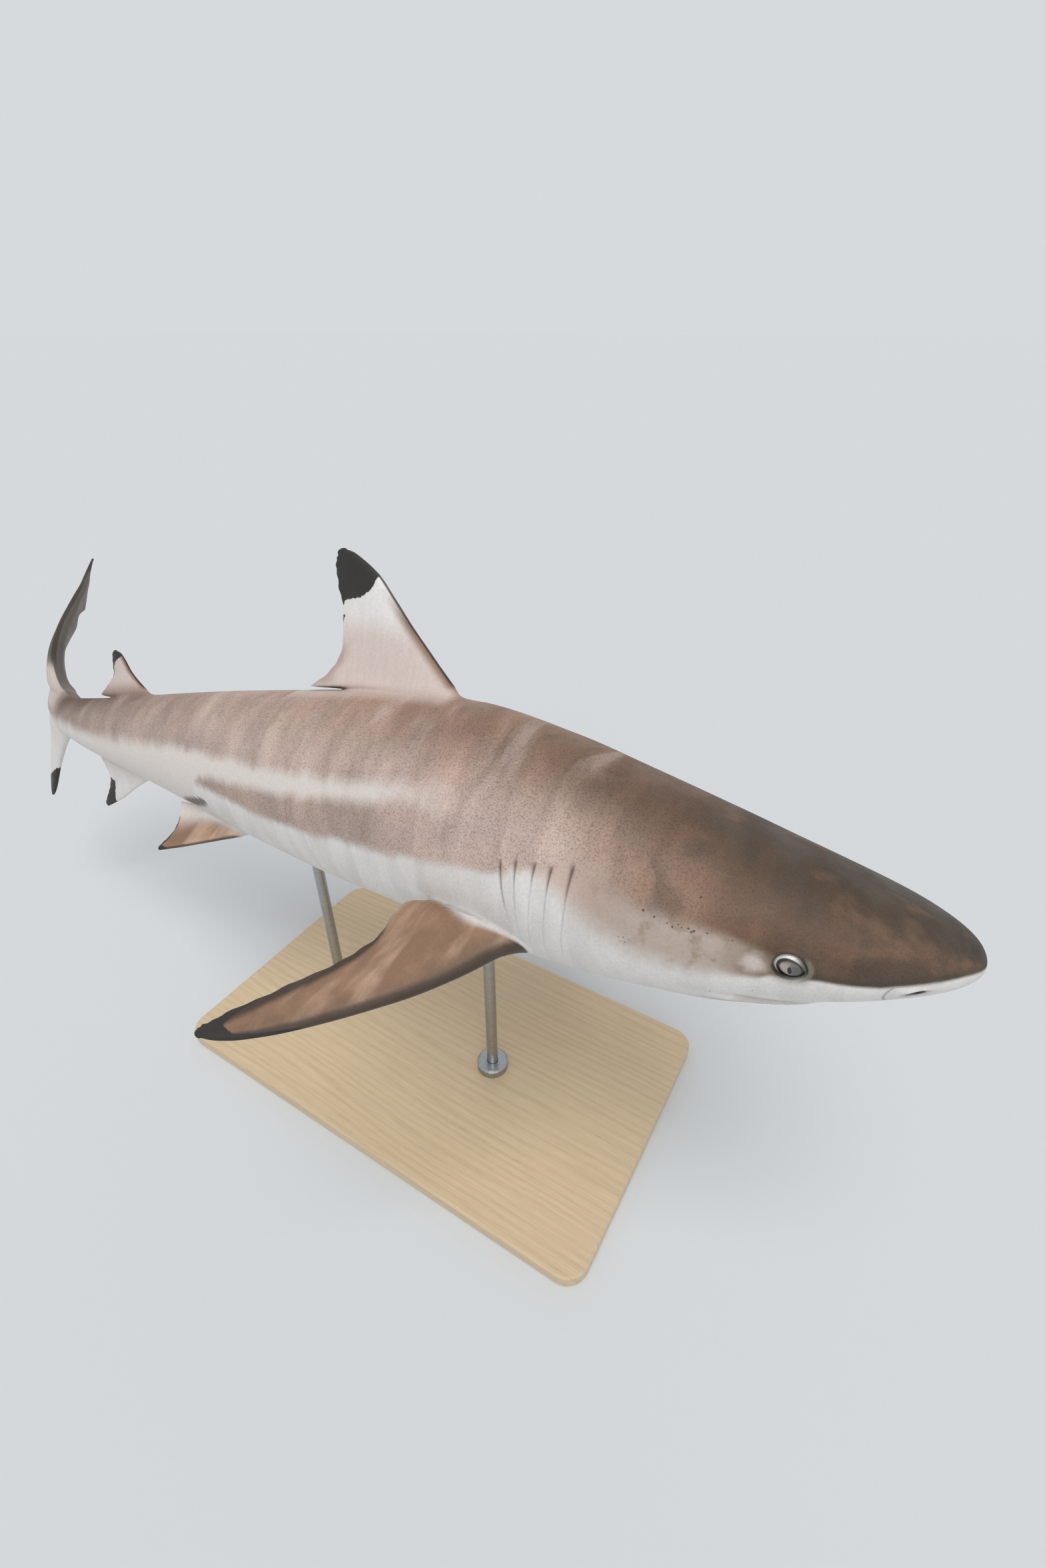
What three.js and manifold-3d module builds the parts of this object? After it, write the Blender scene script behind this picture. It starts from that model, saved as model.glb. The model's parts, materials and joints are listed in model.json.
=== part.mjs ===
// Blacktip reef shark (Carcharhinus melanopterus), a life-size still model on a display stand.
// It swims with its right side tilted up, in a gentle bend, its tail swept to the left.
//
// Frame: millimetres, +Z up, head towards +X, the shark's right side towards -Y.
// The origin is the centre of the stand's underside.
//
// The body is described in body coordinates, as fractions of the total length:
//   s  distance along the spine from the tip of the snout
//   a  offset to the shark's left
//   b  offset towards its back
// bodyPoint() carries them onto the bent spine.

import * as THREE from 'three';
import Module from 'manifold-3d';
import { mergeVertices } from 'three/addons/utils/BufferGeometryUtils.js';

const wasm = await Module();
wasm.setup();

// ---------------------------------------------------------------- driving dimensions

const TOTAL_LENGTH = 1300;
const SEAM = 0.4;            // gap between two neighbouring pieces
const CUT_CLEARANCE = 0.35;  // what a fin, rod or eye keeps from the body it meets
const FIN_EDGE = 0.0003;     // half-thickness of a fin's thinnest edge, of the total length

// Pose: heading and climb along the spine, and the bank of the whole body, in degrees.
const HEADING = [[-0.05, 7.5], [0.10, 3.5], [0.25, -4], [0.48, 3], [0.66, 3.5], [0.80, -10], [0.90, -23], [1.02, 0]];
const CLIMB = [[0, 5], [1, 6]];
const BANK = -17;            // right side up

// The body's point that stands over the middle of the base, and its height.
const BALANCE = 0.345;
const AXIS_HEIGHT = 345;

// Body profile: s, height above the spine line, depth below it, half-width.
const PROFILE = [
  [0.000, 0.0000, 0.0000, 0.0000],
  [0.004, 0.0092, 0.0060, 0.0132],
  [0.012, 0.0152, 0.0104, 0.0229],
  [0.030, 0.0232, 0.0162, 0.0364],
  [0.060, 0.0324, 0.0256, 0.0487],
  [0.090, 0.0410, 0.0350, 0.0545],
  [0.130, 0.0520, 0.0455, 0.0605],
  [0.180, 0.0640, 0.0545, 0.0645],
  [0.230, 0.0740, 0.0610, 0.0660],
  [0.300, 0.0810, 0.0660, 0.0645],
  [0.380, 0.0755, 0.0680, 0.0610],
  [0.460, 0.0655, 0.0620, 0.0540],
  [0.540, 0.0550, 0.0505, 0.0435],
  [0.620, 0.0430, 0.0380, 0.0320],
  [0.700, 0.0305, 0.0265, 0.0225],
  [0.757, 0.0220, 0.0190, 0.0165],
];
// How square a section is above and below its widest line: 2 is an ellipse, less is peaked.
const ROUND_ABOVE = [[0, 2.1], [0.1, 2.1], [0.3, 1.88], [0.6, 1.95], [0.757, 2]];
const ROUND_BELOW = [[0, 2.3], [0.05, 2.6], [0.13, 2.5], [0.25, 2.15], [0.757, 2]];

// Where the body is parted.
const PARTS = [
  ['head', 0.0006, 0.165],
  ['gill_region', 0.165, 0.240],
  ['trunk_front', 0.240, 0.420],
  ['trunk_rear', 0.420, 0.600],
  ['tail_stem', 0.600, 0.757],
];

// Fins are ladders of rungs from root to tip: leading edge s, height, trailing edge s, height.
// Heights count from the back or belly on the middle fins, and outwards on the paired ones.
const FIRST_DORSAL = [
  [0.302, -0.010, 0.405, -0.010],
  [0.310, 0.0000, 0.413, 0.0000],
  [0.317, 0.0070, 0.446, 0.0030],
  [0.328, 0.0175, 0.430, 0.0118],
  [0.341, 0.0308, 0.419, 0.0225],
  [0.353, 0.0435, 0.414, 0.0400],
  [0.3695, 0.0630, 0.4145, 0.0590],
  [0.382, 0.0775, 0.4178, 0.0715],
  [0.396, 0.0885, 0.4200, 0.0830],
  [0.4055, 0.0945, 0.4200, 0.0905],
  [0.4110, 0.0965, 0.4180, 0.0948],
];
const SECOND_DORSAL = [
  [0.630, -0.007, 0.686, -0.007],
  [0.634, 0.0000, 0.692, 0.0000],
  [0.641, 0.0055, 0.709, 0.0030],
  [0.650, 0.0130, 0.700, 0.0095],
  [0.659, 0.0220, 0.690, 0.0165],
  [0.6665, 0.0330, 0.6845, 0.0225],
  [0.672, 0.0392, 0.685, 0.0315],
  [0.6775, 0.0415, 0.6838, 0.0380],
];
const ANAL = [
  [0.636, -0.007, 0.685, -0.007],
  [0.6405, 0.000, 0.6905, 0.000],
  [0.648, 0.0050, 0.720, 0.0050],
  [0.659, 0.0125, 0.7145, 0.0115],
  [0.672, 0.0220, 0.7075, 0.0205],
  [0.688, 0.0350, 0.709, 0.0305],
  [0.7025, 0.0450, 0.7142, 0.0404],
  [0.7140, 0.0524, 0.7185, 0.0502],
];
const LOWER_LOBE = [
  [0.784, 0.0020, 0.838, 0.0030],
  [0.779, -0.018, 0.842, -0.012],
  [0.794, -0.034, 0.8405, -0.028],
  [0.807, -0.051, 0.8425, -0.046],
  [0.8195, -0.069, 0.847, -0.066],
  [0.829, -0.0865, 0.8500, -0.0840],
  [0.8375, -0.0985, 0.8510, -0.0955],
  [0.8430, -0.1035, 0.8490, -0.1022],
];
const PECTORAL = [
  [0.201, -0.024, 0.256, -0.024],
  [0.206, -0.002, 0.262, -0.002],
  [0.2125, 0.0050, 0.290, 0.0165],
  [0.2185, 0.0125, 0.2895, 0.0265],
  [0.228, 0.0330, 0.2862, 0.0410],
  [0.242, 0.0585, 0.2890, 0.0590],
  [0.256, 0.0785, 0.2970, 0.0770],
  [0.273, 0.1000, 0.3075, 0.0965],
  [0.291, 0.1195, 0.3182, 0.1150],
  [0.309, 0.1345, 0.3268, 0.1305],
  [0.3190, 0.1402, 0.3300, 0.1372],
  [0.3250, 0.1425, 0.3315, 0.1408],
];
const PELVIC = [
  [0.486, -0.014, 0.538, -0.017],
  [0.493, 0.0000, 0.546, -0.004],
  [0.4985, 0.0055, 0.579, -0.003],
  [0.511, 0.0138, 0.5685, 0.0080],
  [0.5245, 0.0228, 0.562, 0.0190],
  [0.542, 0.0342, 0.5595, 0.0310],
  [0.5570, 0.0430, 0.5608, 0.0400],
];
// The upper lobe of the tail fin carries the body on: back edge s, b, then rear edge s, b,
// the half-thickness, and how far the thickness is gathered towards the back edge.
const UPPER_LOBE = [
  [0.757, 0.0220, 0.757, -0.0190, 0.0165, 0.00],
  [0.781, 0.0265, 0.790, -0.0195, 0.0125, 0.15],
  [0.805, 0.0378, 0.820, -0.0165, 0.0096, 0.40],
  [0.828, 0.0518, 0.842, -0.0050, 0.0077, 0.70],
  [0.855, 0.0676, 0.853, 0.0180, 0.0060, 0.90],
  [0.886, 0.0810, 0.872, 0.0410, 0.0045, 0.90],
  [0.916, 0.0950, 0.898, 0.0630, 0.0038, 0.80],
  [0.937, 0.1060, 0.924, 0.0812, 0.0032, 0.70],
  [0.945, 0.1103, 0.938, 0.0835, 0.0029, 0.70],
  [0.961, 0.1190, 0.9555, 0.0985, 0.0023, 0.60],
  [0.977, 0.1292, 0.973, 0.1155, 0.0016, 0.50],
  [0.9865, 0.1360, 0.9838, 0.1315, 0.0010, 0.40],
];
const LOBE_TIP_HEIGHT = 0.136;
const LOBE_LEAN = [-0.033, 0.1125];  // sideways lean with height: its linear and square parts
const LOBE_CURL = 0.9;             // extra lean behind the back edge, towards the left
const LOBE_WIDEST = [0.463, 0.663]; // where it is thickest, from its rear edge, at its root and after
const LOBE_START = 0.02;           // in rungs: the seam before the lobe

// Paired fins: the root's offset from the spine line, the droop of the fin's plane, and the
// rise of its root towards the rear.
const PECTORAL_SEAT = { front: 0.207, out: 0.0524, down: 0.038, droop: 25, rise: 0.15 };
const PELVIC_SEAT = { front: 0.5, out: 0.022, down: 0.050, droop: 34, rise: 0.10 };

// Half-thickness of each fin at its root and tip.
const FIRST_DORSAL_THICKNESS = [0.0060, 0.0010];
const SECOND_DORSAL_THICKNESS = [0.0034, 0.0008];
const ANAL_THICKNESS = [0.0034, 0.0008];
const LOWER_LOBE_THICKNESS = [0.0055, 0.0009];
const PECTORAL_THICKNESS = [0.0080, 0.0009];
const PELVIC_THICKNESS = [0.0045, 0.0008];
const FIN_GATHER = 0.6;      // where a fin is thickest: 0 is its middle, more is further forward

// Eyes and mouth.
const EYE = { s: 0.0816, b: 0.0005, sink: 0.0036, length: 0.0172, height: 0.0125, depth: 0.0110 };
const MOUTH = {
  front: 0.066, corner: 0.106, halfWidth: 0.046, back: 0.145, roof: -0.015, floor: -0.07, chin: 0.001,
  roundness: 2.6,            // 2 is a parabola, more is a squarer U
};

// Stand.
const BASE = { length: 520, width: 300, height: 16, corner: 22, bevel: 2 };
const ROD_RADIUS = 6;
const COLLAR = { radius: 17, height: 10, chamfer: 2 };
const RODS = [['front', 0.285], ['rear', 0.462]];

// Mesh fineness.
const BODY_SIDES = 36;
const FIN_SIDES = 18;
const [EYE_SIDES, EYE_BANDS] = [16, 8];
const ROD_SIDES = 16;
const COLLAR_SIDES = 20;
const PART_RINGS = { head: 17, gill_region: 5, trunk_front: 9, trunk_rear: 8, tail_stem: 7 };

const mm = fraction => fraction * TOTAL_LENGTH;
const radians = THREE.MathUtils.degToRad;

// ---------------------------------------------------------------- smooth tables

// A smooth curve through a table's rows that never overshoots them (monotone cubic).
// Each row is [x, value, value, ...]; the result maps x to the list of values.
function smoothTable(rows) {
  const x = rows.map(row => row[0]);
  const columns = rows[0].length - 1;
  const slopes = Array.from({ length: columns }, (_, c) => {
    const chord = x.slice(1).map((xi, i) => (rows[i + 1][c + 1] - rows[i][c + 1]) / (xi - x[i]));
    const inner = x.slice(1, -1).map((_, i) => {
      const [before, after] = [chord[i], chord[i + 1]];
      if (before * after <= 0) return 0;
      const [h0, h1] = [x[i + 1] - x[i], x[i + 2] - x[i + 1]];
      const [w0, w1] = [2 * h1 + h0, h1 + 2 * h0];
      return (w0 + w1) / (w0 / before + w1 / after);
    });
    return [chord[0], ...inner, chord.at(-1)];
  });
  return at => {
    let i = x.findIndex(xi => xi > at) - 1;
    if (i < 0) i = at <= x[0] ? 0 : x.length - 2;
    const h = x[i + 1] - x[i];
    const t = THREE.MathUtils.clamp((at - x[i]) / h, 0, 1);
    return Array.from({ length: columns }, (_, c) => {
      const [p, q] = [rows[i][c + 1], rows[i + 1][c + 1]];
      const [m, n] = [slopes[c][i] * h, slopes[c][i + 1] * h];
      return (2 * t ** 3 - 3 * t ** 2 + 1) * p + (t ** 3 - 2 * t ** 2 + t) * m
        + (3 * t ** 2 - 2 * t ** 3) * q + (t ** 3 - t ** 2) * n;
    });
  };
}

// ---------------------------------------------------------------- spine

const heading = smoothTable(HEADING);
const climb = smoothTable(CLIMB);

function forward(s) {
  const yaw = radians(heading(s)[0]);
  const pitch = radians(climb(s)[0]);
  return new THREE.Vector3(
    Math.cos(yaw) * Math.cos(pitch), Math.sin(yaw) * Math.cos(pitch), Math.sin(pitch));
}

const SPINE_STEPS = 500;
const SPINE_END = 1.02;
const spine = [new THREE.Vector3()];
for (let i = 1; i <= SPINE_STEPS; i++) {
  const step = SPINE_END / SPINE_STEPS;
  const along = forward((i - 0.5) * step).multiplyScalar(-mm(step));
  spine.push(spine[i - 1].clone().add(along));
}

function alongSpine(s) {
  const at = THREE.MathUtils.clamp(s / SPINE_END, 0, 1) * SPINE_STEPS;
  const i = Math.min(Math.floor(at), SPINE_STEPS - 1);
  return spine[i].clone().lerp(spine[i + 1], at - i);
}

const offset = new THREE.Vector3(0, 0, AXIS_HEIGHT).sub(alongSpine(BALANCE));
const UP = new THREE.Vector3(0, 0, 1);

// The spine's point and the directions forward, left and up there, in the stand's frame.
function spineFrame(s) {
  const ahead = forward(s);
  const level = new THREE.Vector3().crossVectors(UP, ahead).normalize();
  const left = level.clone().applyAxisAngle(ahead, radians(BANK));
  const up = new THREE.Vector3().crossVectors(ahead, left);
  return { point: alongSpine(s).add(offset), ahead, left, up };
}

function bodyPoint(s, a, b) {
  const { point, left, up } = spineFrame(s);
  return point.addScaledVector(left, mm(a)).addScaledVector(up, mm(b));
}

// ---------------------------------------------------------------- body sections

// The profile is smoothed over the root of s, which rounds the snout's tip.
const profileTable = smoothTable(PROFILE.map(([s, ...sizes]) => [Math.sqrt(s), ...sizes]));
const roundAbove = smoothTable(ROUND_ABOVE);
const roundBelow = smoothTable(ROUND_BELOW);

function profile(s) {
  const [top, bottom, half] = profileTable(Math.sqrt(s));
  return { top, bottom, half };
}

const signedPower = (value, power) => Math.sign(value) * Math.abs(value) ** power;

const angles = count => Array.from({ length: count }, (_, k) => 2 * Math.PI * k / count);

// One ring of the body, grown by a few tenths of a millimetre where a cutter needs it.
function bodyRing(s, grow = 0) {
  const { top, bottom, half } = profile(s);
  const extra = grow / TOTAL_LENGTH;
  return angles(BODY_SIDES).map(angle => {
    const above = Math.sin(angle) > 0;
    const power = 2 / (above ? roundAbove(s) : roundBelow(s))[0];
    const height = (above ? top : bottom) + extra;
    const a = (half + extra) * signedPower(Math.cos(angle), power);
    const b = height * signedPower(Math.sin(angle), power);
    return bodyPoint(s, a, b);
  });
}

// A fin's section: how far along the chord from rear to front (0 to 1), and the half-thickness.
function finSection(angle, thickness, gather, widest = 0.5) {
  const rise = Math.sin(angle);
  const along = rise < 0 ? widest * (1 + rise) : widest + (1 - widest) * rise;
  const peak = gather / (1 + gather);
  const scale = Math.sqrt(1 - peak ** 2) * ((1 + peak) / 2) ** gather;
  const gathered = Math.cos(angle) * ((1 + rise) / 2) ** gather / scale;
  const edge = FIN_EDGE * signedPower(Math.cos(angle), 0.25);
  return { along, thick: thickness * gathered + (gather > 0 ? edge : 0) };
}

const lobeTable = smoothTable(UPPER_LOBE.map((row, index) => [index, ...row]));
const lobeBackEdge = smoothTable(UPPER_LOBE.map(([s, b]) => [b, s]));

// The tail fin leans and curls to the left, more so towards its tip.
function lobeSide(s, b) {
  const height = Math.max(b, 0) / LOBE_TIP_HEIGHT;
  const behind = Math.max(s - lobeBackEdge(b)[0], 0);
  return LOBE_LEAN[0] * height + LOBE_LEAN[1] * height ** 2 + LOBE_CURL * behind * height;
}

function lobeRing(rung, grow = 0) {
  const [frontS, frontB, rearS, rearB, thickness, gather] = lobeTable(rung);
  const extra = grow / TOTAL_LENGTH;
  const widest = THREE.MathUtils.lerp(...LOBE_WIDEST, THREE.MathUtils.smoothstep(rung, 0, 4));
  return angles(BODY_SIDES).map(angle => {
    const { along, thick } = finSection(angle, thickness + extra, gather, widest);
    const s = THREE.MathUtils.lerp(rearS, frontS, along);
    const b = THREE.MathUtils.lerp(rearB - extra, frontB + extra, along);
    return bodyPoint(s, thick + lobeSide(s, b), b);
  });
}

// ---------------------------------------------------------------- solids

// A closed skin over a row of rings with equal point counts, capped at both ends.
function loft(rings) {
  const sides = rings[0].length;
  const points = rings.flat();
  const triangles = [];
  for (let r = 0; r + 1 < rings.length; r++) {
    for (let k = 0; k < sides; k++) {
      const next = (k + 1) % sides;
      const [p, q] = [r * sides + k, r * sides + next];
      triangles.push([p, q, p + sides], [q, q + sides, p + sides]);
    }
  }
  for (const [first, flip] of [[0, true], [(rings.length - 1) * sides, false]]) {
    const middle = points.length;
    const ring = points.slice(first, first + sides);
    const sum = ring.reduce((total, point) => total.add(point), new THREE.Vector3());
    points.push(sum.divideScalar(sides));
    for (let k = 0; k < sides; k++) {
      const pair = [first + k, first + (k + 1) % sides];
      triangles.push(flip ? [middle, pair[1], pair[0]] : [middle, pair[0], pair[1]]);
    }
  }
  const geometry = new THREE.BufferGeometry();
  geometry.setAttribute('position', new THREE.Float32BufferAttribute(points.flatMap(p => p.toArray()), 3));
  geometry.setIndex(signedVolume(points, triangles) < 0
    ? triangles.flatMap(([p, q, r]) => [p, r, q])
    : triangles.flat());
  return geometry;
}

function signedVolume(points, triangles) {
  return triangles.reduce((sum, [p, q, r]) =>
    sum + points[p].dot(new THREE.Vector3().crossVectors(points[q], points[r])) / 6, 0);
}

function toSolid(geometry) {
  const bare = geometry.clone();
  bare.deleteAttribute('normal');
  bare.deleteAttribute('uv');
  const merged = mergeVertices(bare, 1e-4);
  return new wasm.Manifold(new wasm.Mesh({
    numProp: 3,
    vertProperties: new Float32Array(merged.attributes.position.array),
    triVerts: new Uint32Array(merged.index.array),
  }));
}

function toGeometry(solid) {
  const { vertProperties, triVerts } = solid.getMesh();
  const geometry = new THREE.BufferGeometry();
  geometry.setAttribute('position', new THREE.BufferAttribute(new Float32Array(vertProperties), 3));
  geometry.setIndex(new THREE.BufferAttribute(new Uint32Array(triVerts), 1));
  return geometry;
}

// What is left of a solid when the slivers that a cut leaves behind are dropped.
const mainPiece = solid => solid.decompose().reduce((best, piece) =>
  Math.abs(piece.volume()) > Math.abs(best.volume()) ? piece : best);

const spread = (from, to, count) =>
  Array.from({ length: count + 1 }, (_, i) => from + (to - from) * i / count);

// Stations crowd towards the snout, where the body turns fastest.
function partStations(name, from, to) {
  if (name !== 'head') return spread(from, to, PART_RINGS[name]);
  return spread(Math.sqrt(from), Math.sqrt(to), PART_RINGS[name]).map(root => root ** 2);
}

function bodyPart([name, from, to]) {
  const trim = SEAM / 2 / TOTAL_LENGTH;
  const start = name === 'head' ? from : from + trim;
  return loft(partStations(name, start, to - trim).map(s => bodyRing(s)));
}

// The whole body and upper lobe in one piece, slightly grown: what its neighbours are cut with.
function bodyCutter(grow) {
  const stations = PARTS.flatMap(([name, from, to]) => partStations(name, from, to).slice(1));
  const rungs = spread(0, UPPER_LOBE.length - 1, UPPER_LOBE.length - 1).slice(1);
  return toSolid(loft([...stations.map(s => bodyRing(s, grow)), ...rungs.map(r => lobeRing(r, grow))]));
}

const cutter = bodyCutter(CUT_CLEARANCE);

// place(s, height, thick) puts a point of the fin's plane into body coordinates.
function fin(rungs, [rootThickness, tipThickness], place) {
  const rings = rungs.map(([frontS, frontH, rearS, rearH], index) => {
    const taper = index / (rungs.length - 1);
    const thickness = THREE.MathUtils.lerp(rootThickness, tipThickness, taper);
    return angles(FIN_SIDES).map(angle => {
      const { along, thick } = finSection(angle, thickness, FIN_GATHER);
      const s = THREE.MathUtils.lerp(rearS, frontS, along);
      const height = THREE.MathUtils.lerp(rearH, frontH, along);
      return bodyPoint(...place(s, height, thick));
    });
  });
  return toGeometry(mainPiece(toSolid(loft(rings)).subtract(cutter)));
}

const onBack = (s, height, thick) => [s, thick, profile(s).top + height];
const onBelly = (s, height, thick) => [s, thick, -profile(s).bottom - height];
const onAxis = (s, height, thick) => [s, thick, height];

function onSide(seat, side) {
  const droop = radians(seat.droop);
  return (s, out, thick) => [
    s,
    side * (seat.out + out * Math.cos(droop) + thick * Math.sin(droop)),
    -seat.down - out * Math.sin(droop) + thick * Math.cos(droop) + seat.rise * (s - seat.front),
  ];
}

// ---------------------------------------------------------------- head

// A stretched ball sunk in the side of the head, grown for the socket that holds it.
function eyeball(side, grow = 0) {
  const { point, ahead, left, up } = spineFrame(EYE.s);
  const depth = profile(EYE.s).half - EYE.sink;
  const centre = point.addScaledVector(left, side * mm(depth)).addScaledVector(up, mm(EYE.b));
  const ball = new THREE.SphereGeometry(1, EYE_SIDES, EYE_BANDS);
  ball.applyMatrix4(new THREE.Matrix4().makeScale(
    mm(EYE.length) / 2 + grow, mm(EYE.depth) / 2 + grow, mm(EYE.height) / 2 + grow));
  ball.applyMatrix4(new THREE.Matrix4().makeBasis(ahead, left, up));
  ball.translate(...centre.toArray());
  return ball;
}

// The block that parts the lower jaw from the head: its front follows the curved mouth.
function jawBlock(grow = 0) {
  const extra = grow / TOTAL_LENGTH;
  const { front, corner, halfWidth, back, roof, floor, chin, roundness } = MOUTH;
  const steps = [0, 0.03, 0.1, 0.2, 0.4, 0.7, 1];
  const curve = steps.map(t => [
    front + t * (corner - front),
    Math.max(halfWidth * t ** (1 / roundness), chin),
  ]);
  const outline = [...curve, [back, halfWidth]];
  const rings = outline.map(([s, half], index) => {
    const shift = index === 0 ? -extra : index === outline.length - 1 ? extra : 0;
    const side = half + extra;
    return [[side, roof + extra], [-side, roof + extra], [-side, floor], [side, floor]]
      .map(([a, b]) => bodyPoint(s + shift, a, b));
  });
  return toSolid(loft(rings));
}

const headSolid = toSolid(bodyPart(PARTS[0]));
const sockets = [1, -1].map(side => toSolid(eyeball(side, CUT_CLEARANCE)));

function skull() {
  return toGeometry(headSolid.subtract(jawBlock(SEAM)).subtract(sockets[0]).subtract(sockets[1]));
}

function lowerJaw() {
  return toGeometry(headSolid.intersect(jawBlock()));
}

// ---------------------------------------------------------------- stand

function basePlate() {
  const { length, width, height, corner, bevel } = BASE;
  const [x, y, r] = [length / 2 - bevel, width / 2 - bevel, corner - bevel];
  const outline = new THREE.Shape();
  outline.moveTo(x - r, -y);
  outline.absarc(x - r, -y + r, r, -Math.PI / 2, 0);
  outline.absarc(x - r, y - r, r, 0, Math.PI / 2);
  outline.absarc(-x + r, y - r, r, Math.PI / 2, Math.PI);
  outline.absarc(-x + r, -y + r, r, Math.PI, 1.5 * Math.PI);
  const plate = new THREE.ExtrudeGeometry(outline, {
    depth: height - 2 * bevel, bevelThickness: bevel, bevelSize: bevel, bevelSegments: 1, curveSegments: 4,
  });
  plate.translate(0, 0, bevel);
  return plate;
}

// A rod stands on the base under its station and ends against the belly.
const rodFoot = s => bodyPoint(s, 0, 0).setZ(BASE.height + CUT_CLEARANCE);

function rod(s) {
  const foot = rodFoot(s);
  const length = AXIS_HEIGHT - BASE.height;
  const column = new THREE.CylinderGeometry(ROD_RADIUS, ROD_RADIUS, length, ROD_SIDES);
  column.rotateX(Math.PI / 2);
  column.translate(foot.x, foot.y, foot.z + length / 2);
  return toGeometry(mainPiece(toSolid(column).subtract(cutter)));
}

function collar(s) {
  const { radius, height, chamfer } = COLLAR;
  const bore = ROD_RADIUS + CUT_CLEARANCE;
  const section = [[bore, 0], [radius, 0], [radius, height - chamfer], [radius - chamfer, height],
    [bore, height], [bore, 0]];
  const ring = new THREE.LatheGeometry(section.map(([x, y]) => new THREE.Vector2(x, y)), COLLAR_SIDES);
  ring.rotateX(Math.PI / 2);
  const foot = rodFoot(s);
  ring.translate(foot.x, foot.y, foot.z);
  return ring;
}

// ---------------------------------------------------------------- the model

const brownSkin = () => new THREE.MeshStandardMaterial({ color: 0x8f7a6c, roughness: 0.55 });
const finSkin = () => new THREE.MeshStandardMaterial({ color: 0x7d6858, roughness: 0.5 });
const paleSkin = () => new THREE.MeshStandardMaterial({ color: 0xd8d4cf, roughness: 0.5 });
const eyeGloss = () => new THREE.MeshStandardMaterial({ color: 0x4a4a46, roughness: 0.1 });
const paleAsh = () => new THREE.MeshStandardMaterial({ color: 0xcfbd9f, roughness: 0.5 });
const steel = () => new THREE.MeshStandardMaterial({ color: 0xb4b6b8, roughness: 0.35, metalness: 1 });

const shark = new THREE.Group();

function add(name, geometry, material) {
  const mesh = new THREE.Mesh(geometry, material);
  mesh.name = name;
  shark.add(mesh);
}

add('head', skull(), brownSkin());
add('lower_jaw', lowerJaw(), paleSkin());
PARTS.slice(1).forEach(part => add(part[0], bodyPart(part), brownSkin()));

const lobeRungs = spread(LOBE_START, UPPER_LOBE.length - 1, UPPER_LOBE.length - 1);
add('tail_fin_upper', loft(lobeRungs.map(rung => lobeRing(rung))), finSkin());
add('tail_fin_lower', fin(LOWER_LOBE, LOWER_LOBE_THICKNESS, onAxis), finSkin());
add('dorsal_fin_first', fin(FIRST_DORSAL, FIRST_DORSAL_THICKNESS, onBack), finSkin());
add('dorsal_fin_second', fin(SECOND_DORSAL, SECOND_DORSAL_THICKNESS, onBack), finSkin());
add('anal_fin', fin(ANAL, ANAL_THICKNESS, onBelly), finSkin());
for (const [name, side] of [['left', 1], ['right', -1]]) {
  add(`pectoral_fin_${name}`, fin(PECTORAL, PECTORAL_THICKNESS, onSide(PECTORAL_SEAT, side)), finSkin());
  add(`pelvic_fin_${name}`, fin(PELVIC, PELVIC_THICKNESS, onSide(PELVIC_SEAT, side)), finSkin());
  add(`eye_${name}`, eyeball(side), eyeGloss());
}

add('stand_base', basePlate(), paleAsh());
for (const [name, s] of RODS) {
  add(`stand_rod_${name}`, rod(s), steel());
  add(`stand_collar_${name}`, collar(s), steel());
}

export default shark;
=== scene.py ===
"""Looks of a life-size blacktip reef shark (Carcharhinus melanopterus) on a plain display stand.

One continuous skin stands for the solids of the body and fins, detailed eyes stand for the eye
solids, and the stand keeps its own solids.

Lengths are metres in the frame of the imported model. The shark also has coordinates of its own,
as fractions of its total length:
  s  distance along the spine from the tip of the snout
  a  offset to its left
  b  offset towards its back
"""
import json
import math

import bmesh
import bpy
import numpy as np
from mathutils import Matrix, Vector


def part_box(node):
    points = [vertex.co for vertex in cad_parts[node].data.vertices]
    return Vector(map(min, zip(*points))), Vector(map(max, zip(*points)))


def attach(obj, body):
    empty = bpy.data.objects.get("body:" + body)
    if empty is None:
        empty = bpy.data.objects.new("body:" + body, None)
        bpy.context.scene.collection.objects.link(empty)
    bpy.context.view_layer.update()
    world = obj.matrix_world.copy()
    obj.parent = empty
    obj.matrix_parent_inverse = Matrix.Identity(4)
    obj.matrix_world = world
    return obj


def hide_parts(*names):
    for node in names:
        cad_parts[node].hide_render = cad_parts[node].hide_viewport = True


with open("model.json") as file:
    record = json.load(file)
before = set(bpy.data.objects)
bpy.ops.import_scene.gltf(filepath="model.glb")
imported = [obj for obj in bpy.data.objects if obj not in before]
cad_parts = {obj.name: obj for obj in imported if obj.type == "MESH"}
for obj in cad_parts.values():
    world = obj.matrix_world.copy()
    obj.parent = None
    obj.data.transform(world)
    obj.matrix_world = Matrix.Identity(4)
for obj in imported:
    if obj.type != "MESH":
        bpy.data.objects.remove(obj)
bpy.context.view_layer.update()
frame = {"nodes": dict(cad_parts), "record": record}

# ---- driving dimensions

TOTAL_LENGTH = 1.3
MM = 0.001
TO_MM = TOTAL_LENGTH / MM    # from a share of the length to millimetres

# Pose: heading and climb along the spine, and the bank of the whole body, in degrees.
HEADING = [
    [-0.05, 7.5], [0.1, 3.5], [0.25, -4], [0.48, 3], [0.66, 3.5], [0.8, -10], [0.9, -23], [1.02, 0],
]
CLIMB = [[0, 5], [1, 6]]
BANK = -17

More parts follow.
